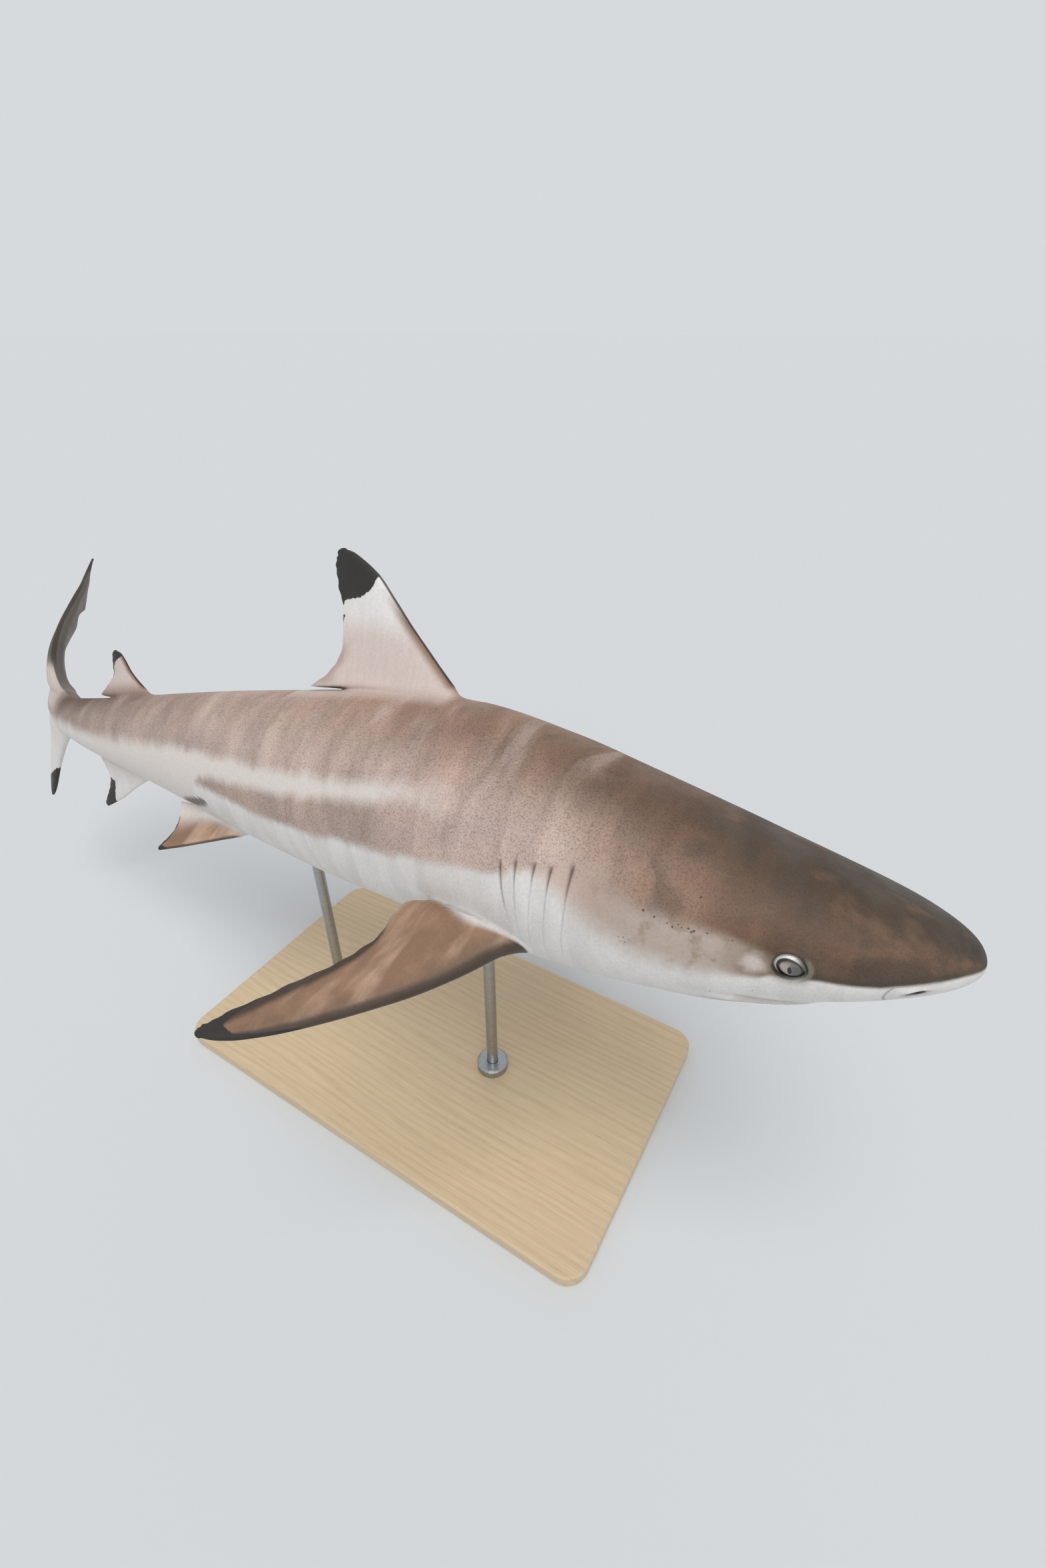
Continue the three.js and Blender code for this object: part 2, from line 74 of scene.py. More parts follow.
# Body profile: s, height above the spine line, depth below it, half-width.
PROFILE = [
    [0, 0, 0, 0], [0.004, 0.0092, 0.006, 0.0132], [0.012, 0.0152, 0.0104, 0.0229],
    [0.03, 0.0232, 0.0162, 0.0364], [0.06, 0.0324, 0.0256, 0.0487], [0.09, 0.041, 0.035, 0.0545],
    [0.13, 0.052, 0.0455, 0.0605], [0.18, 0.064, 0.0545, 0.0645], [0.23, 0.074, 0.061, 0.066],
    [0.3, 0.081, 0.066, 0.0645], [0.38, 0.0755, 0.068, 0.061], [0.46, 0.0655, 0.062, 0.054],
    [0.54, 0.055, 0.0505, 0.0435], [0.62, 0.043, 0.038, 0.032], [0.7, 0.0305, 0.0265, 0.0225],
    [0.757, 0.022, 0.019, 0.0165],
]
TRUNK_END = PROFILE[-1][0]
TRUNK_FRONT = (0.2402, 0.4198)  # s of the ends of the solid that anchors the spine
# How square a section is above and below its widest line: 2 is an ellipse, less is peaked.
ROUND_ABOVE = [[0, 2.1], [0.1, 2.1], [0.3, 1.88], [0.6, 1.95], [0.757, 2]]
ROUND_BELOW = [[0, 2.3], [0.05, 2.6], [0.13, 2.5], [0.25, 2.15], [0.757, 2]]

# Fins are ladders of rungs from root to tip: leading edge s, height, trailing edge s, height.
# Heights count from the back or belly on the middle fins, and outwards on the paired ones.
FIRST_DORSAL = [
    [0.302, -0.01, 0.405, -0.01], [0.31, 0, 0.413, 0], [0.317, 0.007, 0.446, 0.003],
    [0.328, 0.0175, 0.43, 0.0118], [0.341, 0.0308, 0.419, 0.0225], [0.353, 0.0435, 0.414, 0.04],
    [0.3695, 0.063, 0.4145, 0.059], [0.382, 0.0775, 0.4178, 0.0715], [0.396, 0.0885, 0.42, 0.083],
    [0.4055, 0.0945, 0.42, 0.0905], [0.411, 0.0965, 0.418, 0.0948],
]
SECOND_DORSAL = [
    [0.63, -0.007, 0.686, -0.007], [0.634, 0, 0.692, 0], [0.641, 0.0055, 0.709, 0.003],
    [0.65, 0.013, 0.7, 0.0095], [0.659, 0.022, 0.69, 0.0165], [0.6665, 0.033, 0.6845, 0.0225],
    [0.672, 0.0392, 0.685, 0.0315], [0.6775, 0.0415, 0.6838, 0.038],
]
ANAL = [
    [0.636, -0.007, 0.685, -0.007], [0.6405, 0, 0.6905, 0], [0.648, 0.005, 0.72, 0.005],
    [0.659, 0.0125, 0.7145, 0.0115], [0.672, 0.022, 0.7075, 0.0205], [0.688, 0.035, 0.709, 0.0305],
    [0.7025, 0.045, 0.7142, 0.0404], [0.714, 0.0524, 0.7185, 0.0502],
]
LOWER_LOBE = [
    [0.784, 0.002, 0.838, 0.003], [0.779, -0.018, 0.842, -0.012], [0.794, -0.034, 0.8405, -0.028],
    [0.807, -0.051, 0.8425, -0.046], [0.8195, -0.069, 0.847, -0.066],
    [0.829, -0.0865, 0.85, -0.084], [0.8375, -0.0985, 0.851, -0.0955],
    [0.843, -0.1035, 0.849, -0.1022],
]
PECTORAL = [
    [0.201, -0.024, 0.256, -0.024], [0.206, -0.002, 0.262, -0.002], [0.2125, 0.005, 0.29, 0.0165],
    [0.2185, 0.0125, 0.2895, 0.0265], [0.228, 0.033, 0.2862, 0.041], [0.242, 0.0585, 0.289, 0.059],
    [0.256, 0.0785, 0.297, 0.077], [0.273, 0.1, 0.3075, 0.0965], [0.291, 0.1195, 0.3182, 0.115],
    [0.309, 0.1345, 0.3268, 0.1305], [0.319, 0.1402, 0.33, 0.1372], [0.325, 0.1425, 0.3315, 0.1408],
]
PELVIC = [
    [0.486, -0.014, 0.538, -0.017], [0.493, 0, 0.546, -0.004], [0.4985, 0.0055, 0.579, -0.003],
    [0.511, 0.0138, 0.5685, 0.008], [0.5245, 0.0228, 0.562, 0.019], [0.542, 0.0342, 0.5595, 0.031],
    [0.557, 0.043, 0.5608, 0.04],
]
# The upper lobe of the tail fin carries the body on: back edge s, b, then rear edge s, b,
# the half-thickness, and how far the thickness is gathered towards the back edge.
UPPER_LOBE = [
    [0.757, 0.022, 0.757, -0.019, 0.0165, 0], [0.781, 0.0265, 0.79, -0.0195, 0.0125, 0.15],
    [0.805, 0.0378, 0.82, -0.0165, 0.0096, 0.4], [0.828, 0.0518, 0.842, -0.005, 0.0077, 0.7],
    [0.855, 0.0676, 0.853, 0.018, 0.006, 0.9], [0.886, 0.081, 0.872, 0.041, 0.0045, 0.9],
    [0.916, 0.095, 0.898, 0.063, 0.0038, 0.8], [0.937, 0.106, 0.924, 0.0812, 0.0032, 0.7],
    [0.945, 0.1103, 0.938, 0.0835, 0.0029, 0.7], [0.961, 0.119, 0.9555, 0.0985, 0.0023, 0.6],
    [0.977, 0.1292, 0.973, 0.1155, 0.0016, 0.5], [0.9865, 0.136, 0.9838, 0.1315, 0.001, 0.4],
]
LOBE_TIP_HEIGHT = 0.136
LOBE_LEAN = [-0.033, 0.1125]   # sideways lean with height: its linear and square parts
LOBE_CURL = 0.9              # extra lean behind the back edge, towards the left
LOBE_WIDEST = [0.463, 0.663]  # where it is thickest, from its rear edge, at its root and after

# Paired fins: the root's offset from the spine line, the droop of the fin's plane in degrees,
# and the rise of its root towards the rear.
PECTORAL_SEAT = {"front": 0.207, "out": 0.0524, "down": 0.038, "droop": 25, "rise": 0.15}
PELVIC_SEAT = {"front": 0.5, "out": 0.022, "down": 0.050, "droop": 34, "rise": 0.10}

# Half-thickness of each fin at its root and tip, and of its thinnest edge.
FIRST_DORSAL_THICKNESS = [0.0060, 0.0010]
SECOND_DORSAL_THICKNESS = [0.0034, 0.0008]
ANAL_THICKNESS = [0.0034, 0.0008]
LOWER_LOBE_THICKNESS = [0.0055, 0.0009]
PECTORAL_THICKNESS = [0.0080, 0.0009]
PELVIC_THICKNESS = [0.0045, 0.0008]
FIN_GATHER = 0.6
FIN_EDGE = 0.0003
ROOT_FLARE = 0.55            # how much thicker a fin is where it meets the body
ROOT_FLARE_HEIGHT = 0.007    # over which that fades
FIN_TIP_BACK = 0.14          # how far a fin's rounded tip runs back and out, in chords
FIN_TIP_OUT = 0.26
FIN_TIP_SMALLEST = 0.02      # share of the last rung that is left at its end
LOBE_TIP_BACK = 0.6          # how far the upper lobe's tip runs back for each step out
LOBE_RIPPLE = 0.0011         # unevenness of the upper lobe's rear edge

# Eye opening: place, half-length along the body and half-height, and tilt of its long axis.
EYE_S = 0.0814
EYE_B = -0.0006
EYE_OPENING = (9.9 * MM, 7.4 * MM)
EYE_TILT = math.radians(-11)
EYE_BALL = (11.0 * MM, 8.4 * MM, 5.5 * MM)
EYE_PROUD = 0.7 * MM
EYE_SIDES, EYE_BANDS = 72, 40

# Nostril: place, half-length and half-width of the slit, and its tilt.
NOSTRIL_S = 0.0302
NOSTRIL_ANGLE = math.radians(-21)
NOSTRIL_OPENING = (5.4 * MM, 1.7 * MM)
NOSTRIL_TILT = math.radians(12)
NOSTRIL_FLAP = (16.5 * MM, 9.5 * MM)    # half-sizes of the oval that its folded skin follows

# Mouth: s at the middle and at the corners, and its half-width.
MOUTH_FRONT = 0.061
MOUTH_CORNER = 0.106
MOUTH_HALF_WIDTH = 0.0485
MOUTH_ROUNDNESS = 4.5        # 2 is a parabola, more is a squarer U

# Gill slits, front to back: s and elevation in degrees of the upper end, then of the lower end.
GILLS = [
    [0.184, 20, 0.1872, -34], [0.195, 16, 0.1972, -34], [0.2042, 15, 0.2056, -32],
    [0.2152, 14, 0.2112, -28], [0.2242, 11, 0.2168, -20],
]
GILL_ZONE = (0.165, 0.240)
# Elevations between which the top of each gill slit gets painted shade.
GILL_SHADE_SPAN = [(19, 2), (15, 2), (14, 4), (12.3, 0.5), (9, -12.5)]

# Pores on each side of the head: s and elevation.
PORES = [
    (0.107, 8.5), (0.118, 9), (0.1238, 8.3), (0.1248, 7.3), (0.1263, 8.8), (0.1293, 8.3),
    (0.1309, 9.5), (0.1334, 7.3), (0.1359, 8.5), (0.1394, 7), (0.142, 9.8), (0.1475, 11.3),
    (0.1263, 22.8), (0.1238, 26.5), (0.1536, -9), (0.1546, -6.3), (0.1571, -6.7), (0.1632, 0.2),
    (0.1142, -35.5),
]
PORE_SIZE = 0.8 * MM         # radius

# Relief of the skin in millimetres: height of a ridge or depth of a groove, then its width.
GILL_CREASE = (1.7, 2.8)
GILL_FLAP = (0.7, 4.0)
MOUTH_GROOVE = (2.6, 1.2)
UPPER_LIP = (0.6, 1.9)
LOWER_LIP = (1.0, 2.0)
LIP_DISTANCE = 3.4           # from the line of the mouth to the middle of each lip
JAW_SWELL = 2.2
STEM_NOTCH = (2.0, 2.6)
STEM_NOTCH_S = 0.7500
# Brow over the eye and hollow before it: height or depth in millimetres, s and elevation of its
# middle, each with its width.
BROW = (1.3, 0.080, 0.017, 24, 11)
HOLLOW_BEFORE_EYE = (0.9, 0.058, 0.012, 4, 10)

# Rows of the grid of the head: from s, to s, and the space between them. The snout's first rows
# crowd towards its tip, and the rows at the gills follow the slits.
SNOUT_END = 0.020
SNOUT_ROWS = 26
HEAD_SPACING = [
    (SNOUT_END, 0.060, 1.9 * MM), (0.060, 0.112, 1.2 * MM), (0.112, GILL_ZONE[0], 2.2 * MM),
]
BEFORE_SLITS = [0, 0.08, 0.17, 0.26, 0.35, 0.44, 0.53, 0.61, 0.69, 0.77, 0.84, 0.90, 0.95, 0.995]
BETWEEN_SLITS = [0.012, 0.05, 0.10, 0.17, 0.26, 0.37, 0.49, 0.61, 0.73, 0.84, 0.93, 0.988]
AFTER_SLITS = [0.006, 0.03, 0.06, 0.10, 0.15, 0.21, 0.28, 0.37, 0.47, 0.59, 0.72, 0.86]
HEAD_SIDES = 240
TRUNK_SIDES = HEAD_SIDES // 2
SIDE_CROWDING = 0.35         # how much closer the points of a ring are on the head's sides
TRUNK_SPACING = 4.8 * MM
LOBE_ROWS = 84
LOBE_TIP_ROUND = 0.0016
TIP_ROWS = 6                 # rows that round off the tip of a fin

# The part of the grid that gives way to each opening: its half-length and half-height.
EYE_WINDOW = (15.5 * MM, 12.5 * MM)
NOSTRIL_WINDOW = (9.5 * MM, 7 * MM)
# Loops inside each opening: share of its size, and height.
LID_WALL = [
    (0.985, 0.1 * MM), (0.965, -0.25 * MM), (0.955, -0.8 * MM), (0.95, -1.8 * MM),
    (0.945, -3.2 * MM), (0.90, -4.8 * MM), (0.6, -5.4 * MM),
]
NOSTRIL_WALL = [
    (0.96, -0.15 * MM), (0.90, -0.7 * MM), (0.86, -1.6 * MM), (0.82, -2.8 * MM),
    (0.70, -4.0 * MM), (0.4, -4.6 * MM),
]

# Where a fin meets the body: the weld, how many edges the softening reaches and how it fades from
# one to the next, and how many times and how far it pulls a point towards its neighbours.
JOIN_WELD = 0.7 * MM
JOIN_REACH = 5
JOIN_FADE = 0.78
JOIN_PASSES = 14
JOIN_PULL = 0.6

# ---- driving markings

# Edges of the body's colours. Heights are shares of the body's height or depth there.
# Lower edge of the brown: s, height, and the half-width of its blur in millimetres.
BROWN_EDGE = [
    [0, 0.3, 1], [0.002, 0.18, 1], [0.0055, 0.13, 1.1], [0.0105, 0.09, 1.2], [0.019, 0.015, 1.3],
    [0.0305, -0.085, 1.4], [0.038, -0.14, 1.4], [0.0455, -0.195, 1.4], [0.053, -0.2, 1.4],
    [0.066, -0.167, 1.4], [0.0727, -0.153, 1.6], [0.081, -0.02, 2], [0.0909, 0.1, 2.4],
    [0.1026, 0.16, 3], [0.1157, 0.18, 4.5], [0.1344, 0.2, 6], [0.148, 0.21, 8], [0.1607, 0.25, 10],
    [0.1713, 0.36, 12], [0.185, 0.36, 10], [0.195, 0.27, 6], [0.2132, 0.19, 4.5], [0.2319, 0.06, 4],
    [0.2461, 0.03, 4], [0.2693, -0.03, 5], [0.3128, -0.14, 5], [0.3628, -0.2, 5],
    [0.381, -0.234, 5], [0.4411, -0.28, 4.5], [0.4715, -0.25, 4.5], [0.512, -0.215, 5],
    [0.5235, -0.19, 6], [0.55, -0.2, 8], [0.76, -0.05, 10],
]
# Lower edge of the olive band behind and under the eye, in the same terms.
CHEEK_EDGE = [
    [0, 0.9, 1], [0.0727, -0.153, 1.5], [0.08, -0.19, 1.5], [0.0884, -0.19, 1.6], [0.094, -0.25, 2],
    [0.1066, -0.27, 4], [0.1253, -0.29, 7], [0.145, -0.24, 10], [0.16, -0.17, 13],
    [0.175, -0.04, 14], [0.19, 0.1, 10], [0.21, 0.2, 5], [0.24, 0.2, 5],
]
# Upper and lower edge of the white stripe on the flank, and the blur of both in millimetres.
# Behind s 0.53 the stripe joins the belly.
STRIPE = [
    [0.28, 0.46, 0.36, 9], [0.303, 0.43, 0.33, 9], [0.336, 0.37, 0.225, 8],
    [0.362, 0.335, 0.17, 7.5], [0.383, 0.31, 0.13, 7], [0.4386, 0.27, 0.04, 7],
    [0.47, 0.27, 0.012, 7], [0.503, 0.275, -0.03, 7], [0.515, 0.27, -0.06, 6],
    [0.524, 0.265, -0.13, 6], [0.532, 0.26, -0.35, 7], [0.5619, 0.237, -1.3, 8],
    [0.6175, 0.139, -1.4, 10], [0.6625, 0.087, -1.4, 12], [0.714, -0.1, -1.4, 14],
    [0.76, -0.15, -1.4, 14],
]
STRIPE_START = 0.293
STRIPE_TAPER = 0.2           # how bluntly the stripe begins
# Lower edge of the black tips of the middle fins: s, height over the back.
FIRST_DORSAL_BLACK = [
    [0.366, 0.086], [0.3819, 0.0774], [0.3861, 0.0695], [0.3923, 0.0655], [0.4036, 0.0631],
    [0.4118, 0.0626], [0.4138, 0.0588], [0.43, 0.0575],
]
SECOND_DORSAL_BLACK = [
    [0.66, 0.042], [0.671, 0.0355], [0.678, 0.0325], [0.682, 0.0285], [0.6845, 0.019],
    [0.7, 0.0185],
]
# Width in millimetres of the dark margin along the pectoral fin's rear edge, by distance out.
PECTORAL_TRAIL = [[0.0, 0.1], [0.03, 2.5], [0.06, 11.0], [0.09, 17.0], [0.117, 19.0], [0.15, 20.0]]
# Where the marks of each fin may lie: lowest and highest s.
FIRST_DORSAL_SPAN = (0.295, 0.455)
SECOND_DORSAL_SPAN = (0.628, 0.722)
ANAL_SPAN = (0.634, 0.735)
PECTORAL_SPAN = (0.195, 0.336)
PELVIC_SPAN = (0.485, 0.590)
# How much of a step along the body is square to a slanting edge of the fin: front, then rear.
FIRST_DORSAL_SLANT = 0.78
SECOND_DORSAL_SLANT = 0.75
PECTORAL_SLANT = (0.77, 0.94)
PELVIC_SLANT = (0.75, 0.90)
LOBE_SLANT = 0.65
# The black of the anal fin is behind a line between two places: s, height under the belly.
ANAL_BLACK_FROM = (0.6985, 0.0225)
ANAL_BLACK_TO = (0.7000, 0.0490)
STRIPE_END = 0.90
HEAD_END = 0.14              # the marks of the eyes, nostrils and mouth end before it

# What each mark is where nothing lays it. Those in the last row are distances.
FAR = 60.0
MARKS_START = dict.fromkeys(
    ("pale", "blush", "warm", "rim", "tail", "gill", "corner", "shade_mark", "lash", "fold", "jaw"), 0.0)
MARKS_START |= {"black": -FAR, "patch": -FAR, "lid": FAR, "mouth": FAR, "nostril": FAR, "flap": FAR}
TINY = 1e-6                  # keeps a division away from zero
FRONT, REAR = (0, 1), (2, 3)  # columns of a rung: s and height of its front, then of its rear


def linear(r, g, b):
    """A linear colour from the display values of its red, green and blue."""
    return tuple(c / 12.92 if c <= 0.04045 else ((c + 0.055) / 1.055) ** 2.4 for c in (r, g, b)) + (1.0,)


def stops(*rows):
    """The colours of a ramp, each row its place and its red, green and blue."""
    return [(place, linear(*colour)) for place, *colour in rows]


BELLY_WHITE = linear(0.875, 0.865, 0.855)
BELLY_GREY = linear(0.79, 0.78, 0.77)
STRIPE_WHITE = linear(0.86, 0.83, 0.81)
CHEEK_OLIVE = linear(0.53, 0.47, 0.39)
CHEEK_PINK = linear(0.72, 0.655, 0.615)
CHEEK_MOTTLE = linear(0.60, 0.525, 0.46)
JAW_PINK = linear(0.69, 0.635, 0.61)
PATCH_PINK = linear(0.81, 0.765, 0.74)
EDGE_OLIVE = linear(0.26, 0.235, 0.185)
PALE_PINK = linear(0.86, 0.80, 0.775)
FIN_WHITE = linear(0.92, 0.91, 0.90)
BLUSH = linear(0.54, 0.42, 0.34)
WARM_BROWN = linear(0.575, 0.455, 0.365)
WARM_HIGHLIGHT = linear(0.76, 0.64, 0.55)
RIM_BROWN = linear(0.235, 0.20, 0.17)
TAIL_GREY = linear(0.47, 0.435, 0.41)
# Painted shade in the creases and hollows by the fins and on the front of the tail's upper lobe.
PAINTED_SHADE = linear(0.33, 0.305, 0.28)
BLACK = linear(0.20, 0.19, 0.185)
# Painted shade inside recesses: the nostrils, the pores and the deep places of the head.
HOLLOW_SHADE = linear(0.17, 0.14, 0.125)
GILL_SHADE = linear(0.27, 0.20, 0.165)
LID_DARK = linear(0.16, 0.15, 0.12)
CORNER_GREY = linear(0.52, 0.52, 0.475)
FRECKLE = linear(0.34, 0.27, 0.23)
# Dark and warm blotches of the head: partly mottle, partly painted shade and painted light.
BLOTCH_DARK_AND_SHADE = linear(0.325, 0.295, 0.26)
BLOTCH_WARM_AND_LIT = linear(0.52, 0.40, 0.315)
# Pale pink of the painted bands of light on the flank.
LIGHT_BAND_PINK = linear(0.81, 0.73, 0.69)
LOWER_BAND = linear(0.52, 0.44, 0.40)
CLOUD_BROWN = linear(0.60, 0.43, 0.33)
LIP_BROWN = linear(0.52, 0.40, 0.36)
# Painted shade in the groove of the mouth.
MOUTH_SHADE = linear(0.27, 0.19, 0.16)
IRIS_TOP_HIGHLIGHT = linear(0.47, 0.38, 0.33)
EYE_RING = linear(0.115, 0.11, 0.085)
EYE_WHITE = linear(0.90, 0.89, 0.885)
EYE_CORNER = linear(0.41, 0.415, 0.375)
PUPIL = linear(0.04, 0.04, 0.035)
ASH = linear(0.82, 0.735, 0.605)
LATE_ASH = linear(0.755, 0.65, 0.51)
ASH_PORE = linear(0.55, 0.45, 0.33)
STUDIO_GREY = linear(0.84, 0.855, 0.865)
STEEL = stops((0.3, 0.60, 0.61, 0.62), (0.7, 0.70, 0.71, 0.72))
# Colours along the flank and the back, by s.
FLANK_ALONG = stops(
    (0, 0.33, 0.285, 0.245), (0.05, 0.355, 0.285, 0.235), (0.1, 0.44, 0.35, 0.285),
    (0.15, 0.635, 0.53, 0.46), (0.2, 0.82, 0.735, 0.695), (0.32, 0.78, 0.695, 0.655),
    (0.55, 0.795, 0.72, 0.68), (0.68, 0.74, 0.67, 0.63), (0.78, 0.66, 0.58, 0.54),
)
BACK_ALONG = stops(
    (0, 0.27, 0.235, 0.2), (0.05, 0.295, 0.25, 0.205), (0.1, 0.34, 0.27, 0.21),
    (0.15, 0.41, 0.32, 0.255), (0.22, 0.52, 0.415, 0.34), (0.32, 0.64, 0.52, 0.445),
    (0.5, 0.73, 0.64, 0.59), (0.62, 0.69, 0.6, 0.55), (0.72, 0.4, 0.325, 0.28),
)
# Colours across the iris, from front to rear.
IRIS_ACROSS = stops(
    (0, 0.66, 0.62, 0.585), (0.4, 0.6, 0.56, 0.53), (0.62, 0.38, 0.38, 0.37), (1, 0.33, 0.34, 0.33),
)
NOISE_RANGE = (0.3, 0.7)     # where nearly all of a noise's values are

# ---- driving numbers of the studio

FLOOR_SIZE = 60.0
WORLD_LIGHT = 0.50
# Broad soft lamps: name, direction, width in degrees and power.
LAMPS = [
    ("key", (-0.2, 0.35, -1.0), 40, 1.5),
    ("side", (-0.5, 0.9, -0.35), 50, 0.25),
    ("fill", (0.5, -0.9, -0.4), 60, 0.2),
]
CAMERA_LENS, CAMERA_SENSOR = 16, 36  # in millimetres
CAMERA_FROM_SNOUT = (-0.0917, -0.4009, 0.3281)
CAMERA_AZIMUTH = math.radians(31)
CAMERA_PITCH = math.radians(33.46)

# ---- smooth tables


def smooth_table(rows):
    """A curve through rows of [x, value, ...] that never overshoots them (monotone cubic).
    The result maps an array of x to an array with one more axis, of the values."""
    rows = np.asarray(rows, float)
    x, values = rows[:, 0], rows[:, 1:]
    step = np.diff(x)
    chord = np.diff(values, axis=0) / step[:, None]
    slope = np.zeros_like(values)
    slope[0], slope[-1] = chord[0], chord[-1]
    for i in range(1, len(x) - 1):
        before, after = chord[i - 1], chord[i]
        near = 2 * step[i] + step[i - 1]
        far = step[i] + 2 * step[i - 1]
        turning = before * after <= 0
        mean = (near + far) / (near / np.where(turning, 1, before) + far / np.where(turning, 1, after))
        slope[i] = np.where(turning, 0, mean)

    def at(where):
        where = np.asarray(where, float)
        i = np.clip(np.searchsorted(x, where, side="right") - 1, 0, len(x) - 2)
        width = step[i][..., None]
        t = np.clip((where - x[i])[..., None] / width, 0, 1)
        return ((2 * t**3 - 3 * t**2 + 1) * values[i] + (t**3 - 2 * t**2 + t) * slope[i] * width
                + (3 * t**2 - 2 * t**3) * values[i + 1] + (t**3 - t**2) * slope[i + 1] * width)

    return at


def curve(rows):
    """A smooth table with one column of values."""
    table = smooth_table(rows)
    return lambda where: table(where)[..., 0]


def ease(low, high, value):
    """0 below low, 1 above high, smooth between."""
    t = np.clip((np.asarray(value, float) - low) / (high - low), 0, 1)
    return t * t * (3 - 2 * t)


def bump(value, middle, width):
    return np.exp(-(((value - middle) / width) ** 2))


def fade(low, high, value):
    """1 below low, 0 above high, smooth between."""
    return 1 - ease(low, high, value)


def turned(x, y, angle):
    """x and y turned by an angle."""
    c, d = math.cos(angle), math.sin(angle)
    return x * c - y * d, x * d + y * c


# ---- spine

heading = curve(HEADING)
climb = curve(CLIMB)


def forward(s):
    yaw = np.radians(heading(s))
    pitch = np.radians(climb(s))
    return np.stack([np.cos(yaw) * np.cos(pitch), np.sin(yaw) * np.cos(pitch), np.sin(pitch)], -1)


SPINE_STEPS = 500
SPINE_END = 1.02
spine_s = np.linspace(0, SPINE_END, SPINE_STEPS + 1)
half_steps = (spine_s[1:] + spine_s[:-1]) / 2
spine_points = np.zeros((SPINE_STEPS + 1, 3))
spine_points[1:] = np.cumsum(-forward(half_steps) * TOTAL_LENGTH * SPINE_END / SPINE_STEPS, axis=0)


def spine_frame(s):
    """The spine's point at s, and the directions ahead, left and up there."""
    point = np.stack([np.interp(s, spine_s, spine_points[:, k]) for k in range(3)], -1)
    ahead = forward(s)
    level = np.cross([0.0, 0.0, 1.0], ahead)
    level /= np.linalg.norm(level, axis=-1, keepdims=True)
    upright = np.cross(ahead, level)
    bank = math.radians(BANK)
    left = level * math.cos(bank) + upright * math.sin(bank)
    return point, ahead, left, np.cross(ahead, left)


def body_point(s, a, b):
    s, a, b = np.broadcast_arrays(s, a, b)
    point, _, left, up = spine_frame(s)
    return point + TOTAL_LENGTH * (a[..., None] * left + b[..., None] * up)


# ---- body surface

profile_table = smooth_table([[math.sqrt(row[0]), *row[1:]] for row in PROFILE])
round_above = curve(ROUND_ABOVE)
round_below = curve(ROUND_BELOW)


def profile(s):
    """Height above the spine line, depth below it and half-width, at s."""
    return np.moveaxis(profile_table(np.sqrt(np.maximum(s, 0))), -1, 0)


def section(s, angle):
    """a and b on the body's surface, at an angle from its left side towards its back."""
    top, bottom, half = profile(s)
    above = np.sin(angle) > 0
    power = np.where(above, round_above(s), round_below(s))
    reach = (np.abs(np.cos(angle)) ** power + np.abs(np.sin(angle)) ** power) ** (-1 / power)
    return half * np.cos(angle) * reach, np.where(above, top, bottom) * np.sin(angle) * reach


def plain_surface(s, angle):
    return body_point(s, *section(s, angle))


def surface_normal(s, angle):
    small_s, small_angle = 0.0008, 0.01
    ahead = plain_surface(np.maximum(s - small_s, 1e-5), angle) - plain_surface(s + small_s, angle)
    around = plain_surface(s, angle + small_angle) - plain_surface(s, angle - small_angle)
    normal = np.cross(around, ahead)
    return normal / np.linalg.norm(normal, axis=-1, keepdims=True)


def anchor_spine():
    """Moves the spine so that the front of the trunk fills the box of its solid."""
    s, angle = np.meshgrid(np.linspace(*TRUNK_FRONT, 60), np.linspace(0, 2 * math.pi, 181))
    points = plain_surface(s, angle).reshape(-1, 3)
    low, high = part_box("trunk_front")
    spine_points[:] += (np.array(low) + np.array(high) - points.min(0) - points.max(0)) / 2

anchor_spine()


def elevation(angle):
    """Degrees above the widest line, on either side."""
    return np.degrees(np.arctan2(np.sin(angle), np.abs(np.cos(angle))))


class Spot:
    """A place on the skin with a tilted oval round it: an eye or a nostril."""

    def __init__(self, s, angle, side, half_sizes, tilt):
        self.s, self.side, self.half_sizes, self.tilt = s, side, half_sizes, tilt
        self.angle = angle if side > 0 else math.pi - angle
        place = np.array(s), np.array(self.angle)
        self.point = plain_surface(*place)
        self.normal = surface_normal(*place)
        step = 0.02
        across = plain_surface(place[0], place[1] + step) - plain_surface(place[0], place[1] - step)
        self.per_radian = np.linalg.norm(across) / (2 * step)

    def local(self, s, angle):
        """Metres ahead of the spot along the oval, and above it across the oval."""
        turn = (angle - self.angle + math.pi) % (2 * math.pi) - math.pi
        return turned((self.s - s) * TOTAL_LENGTH, turn * self.per_radian * self.side, -self.tilt)

    def place(self, x, y):
        """s and angle of a point given in the oval's own coordinates."""
        ahead, over = turned(x, y, self.tilt)
        return self.s - ahead / TOTAL_LENGTH, self.angle + self.side * over / self.per_radian

    def reach(self, s, angle):
        """1 on the oval, less inside it."""
        x, y = self.local(s, angle)
        return np.hypot(x / self.half_sizes[0], y / self.half_sizes[1])


SIDES = (1, -1)
EYE_ANGLE = math.asin(EYE_B / profile(np.array(EYE_S))[0])
EYES = [Spot(EYE_S, EYE_ANGLE, side, EYE_OPENING, EYE_TILT) for side in SIDES]
NOSTRILS = [Spot(NOSTRIL_S, NOSTRIL_ANGLE, side, NOSTRIL_OPENING, NOSTRIL_TILT) for side in SIDES]

# ---- relief of the skin


def slit_line(gill, up):
    """s along a gill slit at an elevation of up degrees."""
    top_s, top_up, low_s, low_up = gill
    t = np.clip((up - low_up) / (top_up - low_up), -0.25, 1.35)
    return low_s + (top_s - low_s) * t


